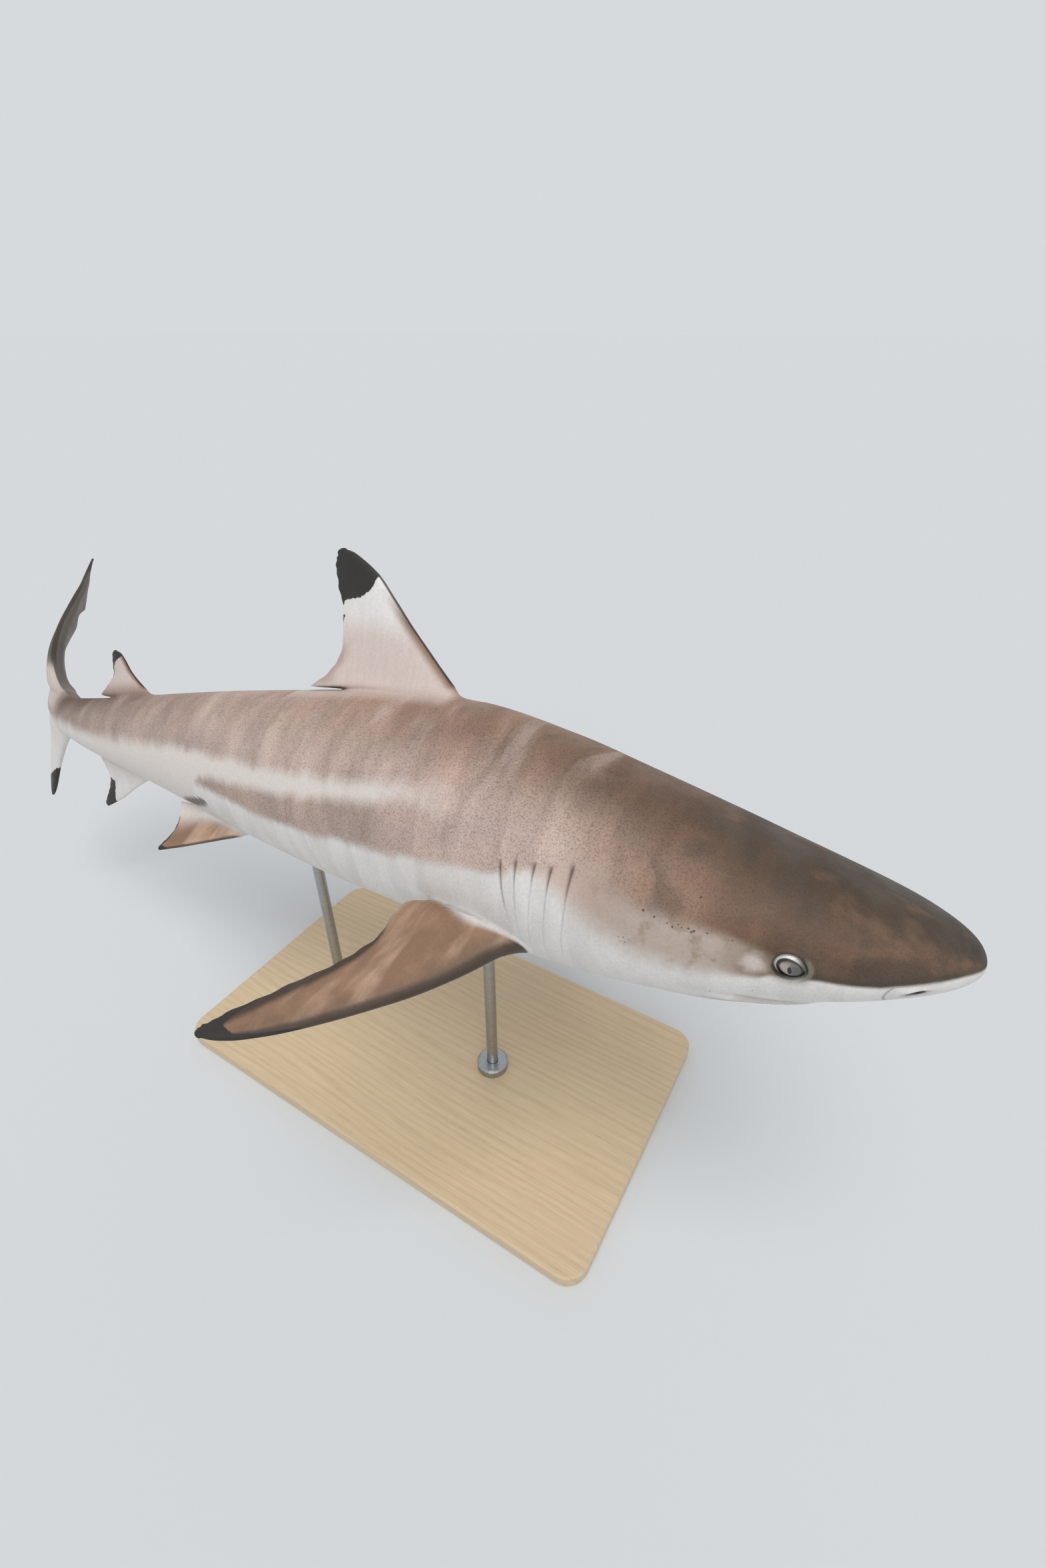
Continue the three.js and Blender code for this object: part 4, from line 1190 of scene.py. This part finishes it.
    def pelvic(self, side):
        """Brown above, with a black tip and rear margin, and a pocket of painted shade on the body beside
        its rear.
        """
        here, out, upper, front, rear, share = self.paired(
            PELVIC_SEAT, PELVIC, side, PELVIC_SPAN, PELVIC_SLANT)
        clear = ease(0.3, 2.0, self.outside)
        brown_from = 0.002 + 0.011 * ease(0.35, 0.85, share)
        strength = ease(-0.011, 0.011, out - brown_from)
        self.lay("warm", here, upper * ease(0.001, 0.006, out) * clear * strength)
        margin = np.where(out > 0.013, 0.8 + 75 * (out - 0.013) - rear, -FAR)
        self.lay("black", here, np.maximum((out - 0.0392) * TO_MM, margin))
        lead = 0.8 * fade(0.2, 4.0, front)
        trail = fade(0.4, 2.8, rear) * ease(0.008, 0.014, out)
        self.lay("rim", here, np.maximum(lead, trail) * ease(0.003, 0.010, out) * clear)
        # A pocket of painted shade on the body between the fin's free rear tip and the belly.
        along = (self.s - 0.541) / 0.0235
        middle = -37 - 20 * along / 2
        shaded_pocket = 1 - np.hypot(along, (self.up - middle) / 6.5)
        under = (np.abs(along) < 1.2) & (self.b < 0) & (self.outside < 3)
        self.lay("shade_mark", under, 0.85 * ease(0, 0.12, shaded_pocket))

    def tail_fin(self):
        """Grey-brown with dark edges and black tips. The grey reaches lower on the left face of the upper
        lobe as painted shade, its front gets painted shade, and the pale base on its right is partly the
        stem's white and partly a painted highlight.
        """
        s, a, b = self.s, self.a, self.b
        tail = s > TRUNK_END
        upper = tail & (b > -0.012)
        level = np.clip(b, -0.005, LOBE_TIP_HEIGHT)
        front = (s - lobe_back_edge(level)) * TO_MM * LOBE_SLANT
        rear = (edge_curve(UPPER_LOBE, REAR, 3)(level) - s) * TO_MM * LOBE_SLANT
        # The grey starts lower on the left face than on the right: painted shade. The front of the upper
        # lobe gets painted shade too.
        left_face = ease(-0.0006, 0.0006, a - lobe_side(s, b))
        grey_and_left_shade = left_face * ease(0.016, 0.032, b) + (1 - left_face) * ease(0.040, 0.056, b)
        self.lay("tail", upper, grey_and_left_shade)
        self.lay("shade_mark", upper, 0.75 * grey_and_left_shade * fade(5, 13, front) * ease(0.02, 0.04, b))
        edge = np.maximum(fade(0.5, 3.2, rear), 0.9 * fade(0.2, 1.4, front))
        self.lay("rim", upper, edge * ease(0.035, 0.055, b))
        self.lay("black", upper, (b - 0.1225) * TO_MM)
        self.lay("black", tail & (b < -0.020), (-b - 0.0604 - 0.62 * (s - 0.8104)) * TO_MM * 0.85)
        # Pale base on the right face: partly the stem's white carried on, partly a painted highlight.
        pale = ease(TRUNK_END, 0.795, s) * fade(0.040, 0.056, b) * ease(0.000, 0.014, b)
        self.lay("pale", upper & (a < lobe_side(s, b)), 0.8 * pale)

    def all(self):
        self.body_colours()
        self.eyes()
        self.nostrils()
        self.mouth_and_gills()
        self.middle_fins()
        for side in SIDES:
            self.pectoral(side)
            self.pelvic(side)
        self.tail_fin()
        values = {name: np.clip(value, -FAR, FAR) for name, value in self.values.items()}
        # How deep a point of the head lies under the plain surface; the paint darkens the deep places with
        # painted shade.
        values["depth"] = np.where(self.s < 0.245, np.clip(-self.outside, 0, 6), 0)
        values["along"] = self.s
        values["body"] = np.stack([self.s, self.a, self.b], -1) * TOTAL_LENGTH
        return values


def set_attributes(data, values):
    for name, array in values.items():
        kind, field = ("FLOAT_VECTOR", "vector") if array.ndim == 2 else ("FLOAT", "value")
        layer = data.attributes.new(name, kind, "POINT")
        layer.data.foreach_set(field, np.ascontiguousarray(array, np.float32).ravel())


# ---- shader tools


class Value:
    """A shader socket. Arithmetic on it, and the methods below, add the nodes they need."""

    def __init__(self, nodes, socket):
        self.nodes, self.socket = nodes, socket

    def math(self, operation, other=0.0):
        return self.nodes.node("Math", {0: self, 1: other}, operation=operation)

    def __add__(self, other):
        return self.math("ADD", other)

    def __sub__(self, other):
        return self.math("SUBTRACT", other)

    def __mul__(self, other):
        return self.math("MULTIPLY", other)

    def __truediv__(self, other):
        return self.math("DIVIDE", other)

    def __abs__(self):
        return self.math("ABSOLUTE")

    def rest(self):
        """What is left of 1."""
        return self.nodes.node("Math", {0: 1.0, 1: self}, operation="SUBTRACT")

    def step(self, low, high, start=0.0, end=1.0):
        """Runs smoothly from start, where this is low, to end, where it is high."""
        inputs = {"Value": self, "From Min": low, "From Max": high, "To Min": start, "To Max": end}
        return self.nodes.node("MapRange", inputs, "Result", interpolation_type="SMOOTHSTEP")

    def parts(self):
        """Its x, y and z."""
        made = self.nodes.add("SeparateXYZ", {0: self})
        return [Value(self.nodes, output) for output in made.outputs]

    def stretch(self, *scale):
        return self.nodes.node("Mapping", {"Vector": self, "Scale": scale}, "Vector")

    def noise(self, scale, detail=3.0, roughness=0.5, distortion=0.0):
        inputs = {"Vector": self, "Scale": scale, "Detail": detail, "Roughness": roughness,
                  "Distortion": distortion}
        return self.nodes.node("TexNoise", inputs, "Fac")

    def ramp(self, stops):
        """The colours of the stops, each at its place."""
        made = self.nodes.add("ValToRGB", {"Fac": self})
        elements = made.color_ramp.elements
        while len(elements) < len(stops):
            elements.new(0.5)
        for element, (place, colour) in zip(elements, stops):
            element.position = place
            element.color = colour
        return Value(self.nodes, made.outputs["Color"])

    def between(self, one, two, blend="MIX"):
        """Colour one where this is 0, colour two where it is 1."""
        return self.nodes.node("Mix", {0: self, 6: one, 7: two}, 2, data_type="RGBA", blend_type=blend)

    def coats(self, *layers):
        """This colour under layers, each an amount, a colour and a way to blend."""
        colour = self
        for amount, *tint in layers:
            colour = amount.between(colour, *tint)
        return colour

    def vary(self, colour, low, high):
        """The colour made darker or lighter, from low to high, as this noise runs."""
        inputs = {0: colour, "Scale": self.step(*NOISE_RANGE, low, high)}
        return self.nodes.node("VectorMath", inputs, operation="SCALE")

    def relief(self, distance, strength=1.0, normal=None):
        inputs = {"Height": self, "Distance": distance, "Strength": strength}
        if normal is not None:
            inputs["Normal"] = normal
        return self.nodes.node("Bump", inputs, "Normal")


class Nodes:
    """A node tree and short ways to add to it."""

    def __init__(self, tree):
        self.tree = tree

    def put(self, socket, value):
        value = value.socket if isinstance(value, Value) else value
        if isinstance(value, bpy.types.NodeSocket):
            self.tree.links.new(value, socket)
        else:
            socket.default_value = value

    def add(self, kind, inputs=(), **settings):
        made = self.tree.nodes.new("ShaderNode" + kind)
        for key, value in settings.items():
            setattr(made, key, value)
        for key, value in dict(inputs).items():
            self.put(made.inputs[key], value)
        return made

    def node(self, kind, inputs=(), output=0, **settings):
        """Adds a node and gives one of its outputs."""
        return Value(self, self.add(kind, inputs, **settings).outputs[output])


class Paint(Nodes):
    """A material under way."""

    def __init__(self, name):
        self.material = bpy.data.materials.new(name)
        self.material.use_nodes = True
        super().__init__(self.material.node_tree)

    def mark(self, name, output="Fac"):
        """An attribute of the mesh."""
        return self.node("Attribute", (), output, attribute_name=name)

    def finish(self, **values):
        """Sets the shader's own sockets and gives the material."""
        shader = self.tree.nodes["Principled BSDF"]
        for key, value in values.items():
            self.put(shader.inputs[key.replace("_", " ").title().replace("Ior", "IOR")], value)
        return self.material


# ---- materials


def body_paint(paint, body, along, soft):
    """The body's colours: brown above, white below, the flank's stripe and the cheek, with painted streaks
    and bands of light, and blotches on the head that are partly painted shade and light.
    """
    flank = along.ramp(FLANK_ALONG)
    clouds = body.noise(17, 3, 0.5, 0.3)
    # Streaky mottle along the body, partly painted streaks of light: it lightens and darkens the brown,
    # greys the white and roughens the edges of the brown and the stripe.
    mottle_and_light_streaks = body.stretch(2.4, 0.8, 0.6).noise(22, 3, 0.5, 0.5)
    # Pale wavy bands of painted light on the flank, from s 0.13 back.
    light_bands = body.stretch(2.0, 1.0, 0.7).noise(13, 3, 0.55, 0.6)
    # Soft blotches on the head, partly the skin's own mottle and partly painted patches of shade and
    # light.
    mottle_and_light_blotches = body.stretch(0.7, 1.0, 1.0).noise(27, 3, 0.55, 0.4)
    on_head = along.step(0.21, 0.11)
    brown = paint.mark("back").between(flank, along.ramp(BACK_ALONG)).coats(
        (clouds.step(0.38, 0.70, 0.0, 0.15), CLOUD_BROWN, "SOFT_LIGHT"),
        (light_bands.step(0.48, 0.68, 0.0, 0.45) * along.step(0.13, 0.22), LIGHT_BAND_PINK),
        (mottle_and_light_blotches.step(0.52, 0.38, 0.0, 0.55) * on_head, BLOTCH_DARK_AND_SHADE),
        (mottle_and_light_blotches.step(0.52, 0.68, 0.0, 0.45) * on_head, BLOTCH_WARM_AND_LIT),
    )
    brown = mottle_and_light_streaks.vary(clouds.vary(brown, 0.83, 1.09), 0.86, 1.10)
    under_stripe = paint.mark("stripe").step(1.0, -1.0) * along.step(0.31, 0.36)
    near_edge = paint.mark("brown").step(14.0, 6.0, 0.0, 0.3)
    streaky = (mottle_and_light_streaks - 0.5) * 1.6
    brown_at = paint.mark("brown") + soft * 1.2 + streaky * along.step(0.24, 0.28, 0.0, 1.4)
    at_edge = brown_at.step(5.0, 1.5) * along.step(0.085, 0.070)
    brown = brown.coats((under_stripe * near_edge, LOWER_BAND), (at_edge * 0.5, EDGE_OLIVE))

    # Grey streaks on the white: partly mottle, partly painted shade between streaks of light.
    white = mottle_and_light_streaks.step(0.40, 0.66, 0.0, 0.45).between(BELLY_WHITE, BELLY_GREY)
    mottles = body.noise(60, 4, 0.6, 0.4)
    pink = mottles.step(0.50, 0.66, 0.0, 0.75).between(CHEEK_PINK, CHEEK_MOTTLE)
    olive = mottles.vary(CHEEK_OLIVE[:3], 0.88, 1.14)
    cheek = (along + soft * 0.03).step(0.096, 0.116).between(olive, pink)
    cheek = along.step(0.15, 0.19).between(cheek, flank)
    cheek_amount = (paint.mark("cheek") + soft * 1.2).step(-1.2, 1.2)
    brown_amount = brown_at.step(-1.2, 1.2)
    stripe_amount = (paint.mark("stripe") + soft + streaky).step(-1.1, 1.1)
    colour = white.coats((cheek_amount, cheek), (brown_amount, brown), (stripe_amount, STRIPE_WHITE))
    freckles = body.noise(820, 2, 0.6).step(0.46, 0.66, 0.0, 0.38)
    freckled = brown_amount * stripe_amount.rest() * along.step(0.08, 0.19, 0.5, 1.0)
    return colour.coats((freckles * freckled, FRECKLE, "MULTIPLY"))


def fin_paint(paint, body, colour, ragged):
    """The fins' colours over the body's: pale first, then brown with painted highlight streaks, then
    painted shade, then the dark edges and tips.
    """
    rays = body.stretch(3.0, 1.0, 0.5).noise(70, 3, 0.55, 0.2)
    # sheen lays painted highlight streaks along the rays of the paired fins' brown.
    sheen = body.stretch(2.4, 0.6, 0.6).noise(18, 3, 0.5, 0.3)
    pale = body.parts()[2].step(0.138, 0.172).between(PALE_PINK, FIN_WHITE)
    warm = sheen.step(0.46, 0.70, 0.0, 0.85).between(WARM_BROWN, WARM_HIGHLIGHT)
    rim = (paint.mark("rim") + ragged * 0.25).step(0.05, 0.95) * 0.92
    jagged = body.noise(420, 3, 0.55) - 0.5
    black = paint.mark("black") + ragged * 5.0 + jagged * 3.2
    return colour.coats(
        (paint.mark("pale"), rays.vary(pale, 0.965, 1.025)),
        (paint.mark("blush"), BLUSH),
        (paint.mark("warm"), body.noise(45, 3, 0.5).vary(warm, 0.88, 1.10)),
        (paint.mark("tail"), rays.vary(TAIL_GREY[:3], 0.88, 1.10)),
        # painted shade in the fins' creases and hollows
        (paint.mark("shade_mark"), PAINTED_SHADE),
        (rim, RIM_BROWN),
        (black.step(-0.5, 0.7), BLACK),
    )


def pore_distance(paint, body):
    """Metres to the nearest pore of the head, on both sides alike."""
    ahead, across, high = body.parts()
    here = paint.node("CombineXYZ", {0: ahead, 1: abs(across), 2: high})
    nearest = 1.0
    for s, up in PORES:
        a, b = section(np.array(s), np.array(math.radians(up)))
        place = tuple(TOTAL_LENGTH * float(part) for part in (s, a, b))
        gap = paint.node("VectorMath", {0: here, 1: place}, "Value", operation="DISTANCE")
        nearest = gap.math("MINIMUM", nearest)
    return nearest


def head_paint(paint, body, along, colour, soft, ragged):
    """Eyelids, mouth, nostrils, gill slits and the pores of the head, with painted shade in the line of
    the mouth, inside the nostrils and pores, at the tops of the gill slits and in the head's deep places.
    """
    mouth = paint.mark("mouth")
    nostril = paint.mark("nostril")
    patch = paint.mark("patch") + ragged * 0.9 + soft * 0.5
    fold = abs(paint.mark("flap")).step(0.75, 0.15, 0.0, 0.5) * paint.mark("brown").step(0.5, -1.0)
    uneven = (body.noise(90, 2) - 0.5) * (2.2 * MM)
    pores = pore_distance(paint, body) + uneven
    cells = paint.add("TexVoronoi", {"Vector": body, "Scale": 120.0})
    pick = paint.node("SeparateColor", {0: cells.outputs["Color"]})
    small_pores = Value(paint, cells.outputs["Distance"]).step(0.075, 0.04) * pick.step(0.62, 0.64)
    return colour.coats(
        (paint.mark("jaw") * 0.75, JAW_PINK),
        (patch.step(-0.1, 0.75, 0.0, 0.85), PATCH_PINK),
        (paint.mark("lid").step(6.5, 0.8, 0.0, 0.30), CHEEK_OLIVE, "MULTIPLY"),
        (paint.mark("corner") * 0.75, CORNER_GREY),
        (paint.mark("lash"), LID_DARK),
        (mouth.step(3.0, 0.6, 0.0, 0.30), LIP_BROWN),
        # painted shade in the groove of the mouth
        (mouth.step(0.8, 0.2, 0.0, 0.75), MOUTH_SHADE),
        (nostril.step(1.6, 0.2, 0.0, 0.35), CHEEK_OLIVE, "MULTIPLY"),
        # painted shade inside the nostril
        ((nostril + ragged * 1.4).step(0.35, -0.45, 0.0, 0.9), HOLLOW_SHADE),
        (fold * paint.mark("fold"), CORNER_GREY, "MULTIPLY"),
        # painted shade at the tops of the gill slits
        (paint.mark("gill") * 0.8, GILL_SHADE),
        # painted shade in the deep places of the head
        (paint.mark("depth").step(2.0, 3.6, 0.0, 0.8), HOLLOW_SHADE),
        (pores.step(PORE_SIZE, 0.4 * PORE_SIZE, 0.0, 0.72), HOLLOW_SHADE),
        (small_pores * (along.step(0.17, 0.10) * 0.55), HOLLOW_SHADE),
    )


def skin_paint():
    """Satin skin: its colours, and the fine grain of its scales."""
    paint = Paint("shark_skin")
    body = paint.mark("body", "Vector")
    along = paint.mark("along")
    ragged = body.noise(110, 4, 0.62) - 0.5
    soft = body.stretch(1, 0.6, 0.6).noise(30, 4, 0.6) - 0.5
    colour = body_paint(paint, body, along, soft)
    colour = fin_paint(paint, body, colour, ragged)
    colour = head_paint(paint, body, along, colour, soft, ragged)
    colour = body.noise(500, 2, 0.6).vary(colour, 0.95, 1.04)
    normal = body.stretch(0.5, 1, 1).noise(55, 3, 0.5).relief(0.0008, 0.3)
    normal = body.noise(320, 3, 0.5).relief(0.0003, 0.35, normal)
    normal = body.noise(1500, 2, 0.6).relief(0.00018, 0.5, normal)
    rough = body.noise(45, 3).step(*NOISE_RANGE, 0.48, 0.62)
    return paint.finish(base_color=colour, roughness=rough, normal=normal, specular_ior_level=0.3)


def eye_paint():
    """A grey iris in a dark ring, an upright slit pupil, a white rim above and behind, and a brownish
    painted highlight across the top of the iris.
    """
    paint = Paint("shark_eye")
    place = paint.mark("eye", "Vector")
    x, y, _ = place.parts()

    def oval(middle_x, middle_y, half_x, half_y, lean):
        """1 on an oval round a middle, less inside it; lean moves its top forwards."""
        across = ((x - middle_x) + (y - middle_y) * -lean) / half_x
        over = (y - middle_y) / half_y
        return (across * across + over * over).math("SQRT")

    fibres = place.stretch(0.5, 0.2, 1).noise(2.4, 4, 0.6)
    shade = x * 0.10 + y * 0.02 + (fibres - 0.5) * 0.4
    iris = shade.step(-0.5, 0.42).ramp(IRIS_ACROSS)
    white = (x - y * 0.55).step(-3.5, 5.5).between(EYE_WHITE, EYE_CORNER)
    colour = iris.coats(
        # a brownish painted highlight across the top of the iris
        (y.step(0.6, 3.2, 0.0, 0.7), IRIS_TOP_HIGHLIGHT),
        (oval(0.0, -0.9, 6.1, 4.5, -0.35).step(0.88, 1.06), EYE_RING),
        (oval(0.1, -1.6, 7.8, 6.7, -0.35).step(0.98, 1.05), white),
        (oval(-0.4, -2.0, 1.25, 2.5, -0.15).step(1.10, 0.86), PUPIL),
    )
    return paint.finish(base_color=colour, roughness=0.12, coat_weight=0.5, coat_roughness=0.05)


def wood_paint():
    """Pale ash under a satin varnish, its grain along the base."""
    paint = Paint("stand_wood")
    place = paint.node("TexCoord", (), "Object")
    wander = place.stretch(1.0, 4.0, 4.0).noise(2.0, 2, 0.4)
    uneven = place.stretch(0.6, 16.0, 16.0).noise(2.5, 2, 0.5)
    rings = (place.parts()[1] * 700.0 + wander * 34.0 + uneven * 16.0).math("SINE")
    fleck = place.stretch(9, 260, 260).noise(3.0, 4, 0.6)
    pores = place.stretch(16, 420, 420).noise(3.0, 3, 0.6).step(0.60, 0.72)
    colour = fleck.vary(rings.step(-0.5, 1.0, 0.0, 0.32).between(ASH, LATE_ASH), 0.94, 1.05)
    colour = colour.coats((pores * rings.step(0.0, 0.9, 0.10, 0.45), ASH_PORE))
    return paint.finish(base_color=colour, roughness=fleck.step(*NOISE_RANGE, 0.36, 0.48),
                        normal=fleck.relief(0.0002, 0.3), coat_weight=0.2, coat_roughness=0.25)


def steel_paint():
    """Steel brushed round its length, with faint handling marks."""
    paint = Paint("stand_steel")
    place = paint.node("TexCoord", (), "Object")
    brushed = place.stretch(20, 20, 900).noise(3.0, 4, 0.65)
    marks = place.noise(40, 3, 0.5)
    rough = brushed.step(*NOISE_RANGE, 0.26, 0.36) + marks.step(0.5, 0.8, 0.0, 0.08)
    return paint.finish(base_color=brushed.ramp(STEEL), roughness=rough,
                        normal=brushed.relief(0.00015, 0.5), metallic=1.0)


# ---- the pieces


def dress(data, material, attributes):
    """Gives a mesh its material, its attributes and smooth shading."""
    data.materials.clear()
    data.materials.append(material)
    set_attributes(data, attributes)
    data.polygons.foreach_set("use_smooth", [True] * len(data.polygons))
    data.update()


def make_skin():
    body = body_shell()
    join_by_union(body, fin_pieces())
    points = soften_joins(body.data)
    body.data.polygons.foreach_set("material_index", [0] * len(body.data.polygons))
    dress(body.data, skin_paint(), Marks(points).all())
    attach(body, "root")
    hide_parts(*[row["node"] for row in frame["record"]["subparts"] if row["material_slot"] == "skin"])


def make_eye(name, eye, material):
    """A ball sunk in its socket, with its place across the opening kept in millimetres."""
    out = eye.normal
    ahead = spine_frame(np.array(EYE_S))[1]
    ahead = ahead - out * np.dot(ahead, out)
    ahead /= np.linalg.norm(ahead)
    up = np.cross(out, ahead) * (1 if eye.side < 0 else -1)
    long_axis, short_axis = turned(ahead, up, -EYE_TILT)
    length, height, depth = EYE_BALL
    centre = eye.point + out * (EYE_PROUD - depth)
    turn = np.arange(EYE_SIDES) * 2 * math.pi / EYE_SIDES
    rings = []
    places = []
    for band in range(1, EYE_BANDS):
        tilt = band / EYE_BANDS * math.pi
        x, y = length * math.sin(tilt) * np.cos(turn), height * math.sin(tilt) * np.sin(turn)
        z = depth * math.cos(tilt)
        rings.append(centre + x[:, None] * long_axis + y[:, None] * short_axis + z * out)
        places.append(np.stack([*turned(x, y, EYE_TILT), np.full(EYE_SIDES, z)], -1))
    places.append([[0, 0, depth], [0, 0, -depth]])
    shell = Shell()
    shell.tube(rings, centre + depth * out, centre - depth * out)
    piece = shell.mesh(name)
    dress(piece.data, material, {"eye": np.vstack(places) / MM})
    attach(piece, "root")
    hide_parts(name.replace("eyeball", "eye"))


def finish_stand():
    materials = {"stand_wood": wood_paint(), "stand_steel": steel_paint()}
    for row in frame["record"]["subparts"]:
        if row["material_slot"] in materials:
            data = frame["nodes"][row["node"]].data
            data.materials.clear()
            data.materials.append(materials[row["material_slot"]])


def make_floor():
    data = bpy.data.meshes.new("floor")
    corners = [(x * FLOOR_SIZE, y * FLOOR_SIZE, 0) for x, y in ((-1, -1), (1, -1), (1, 1), (-1, 1))]
    data.from_pydata(corners, [], [(0, 1, 2, 3)])
    floor = add_object("floor", data)
    paint = Paint("floor_paint")
    data.materials.append(paint.finish(base_color=STUDIO_GREY, roughness=1.0, specular_ior_level=0.0))


def aim(thing, direction):
    thing.rotation_mode = "QUATERNION"
    thing.rotation_quaternion = Vector(direction).to_track_quat("-Z", "Y")


def make_light():
    """Plain light from all round, three broad lamps, and a pale backdrop."""
    world = bpy.data.worlds.new("studio")
    bpy.context.scene.world = world
    world.use_nodes = True
    nodes = Nodes(world.node_tree)
    light = world.node_tree.nodes["Background"]
    nodes.put(light.inputs["Strength"], WORLD_LIGHT)
    nodes.put(light.inputs["Color"], (1, 1, 1, 1))
    backdrop = nodes.node("Background", {"Color": STUDIO_GREY})
    path = nodes.add("LightPath")
    seen = Value(nodes, path.outputs["Is Camera Ray"])
    for kind in ("Is Glossy Ray", "Is Transmission Ray"):
        seen = seen.math("MAXIMUM", path.outputs[kind])
    choice = nodes.node("MixShader", {0: seen, 1: light.outputs[0], 2: backdrop})
    nodes.put(world.node_tree.nodes["World Output"].inputs["Surface"], choice)
    for name, direction, softness, power in LAMPS:
        data = bpy.data.lights.new(name, "SUN")
        data.angle = math.radians(softness)
        data.energy = power
        aim(add_object(name, data), direction)


def make_camera():
    data = bpy.data.cameras.new("camera")
    data.sensor_width = CAMERA_SENSOR
    data.lens = CAMERA_LENS
    camera = add_object("camera", data)
    camera.location = Vector(spine_frame(np.array(0.0))[0]) + Vector(CAMERA_FROM_SNOUT)
    aim(camera, (-math.sin(CAMERA_AZIMUTH) * math.cos(CAMERA_PITCH),
                 math.cos(CAMERA_AZIMUTH) * math.cos(CAMERA_PITCH), -math.sin(CAMERA_PITCH)))
    bpy.context.scene.camera = camera


make_skin()
eye_material = eye_paint()
for side_name, eye_place in zip(("left", "right"), EYES):
    make_eye("eyeball_" + side_name, eye_place, eye_material)
finish_stand()
make_floor()
make_light()
make_camera()
bpy.context.scene.view_settings.view_transform = "Standard"
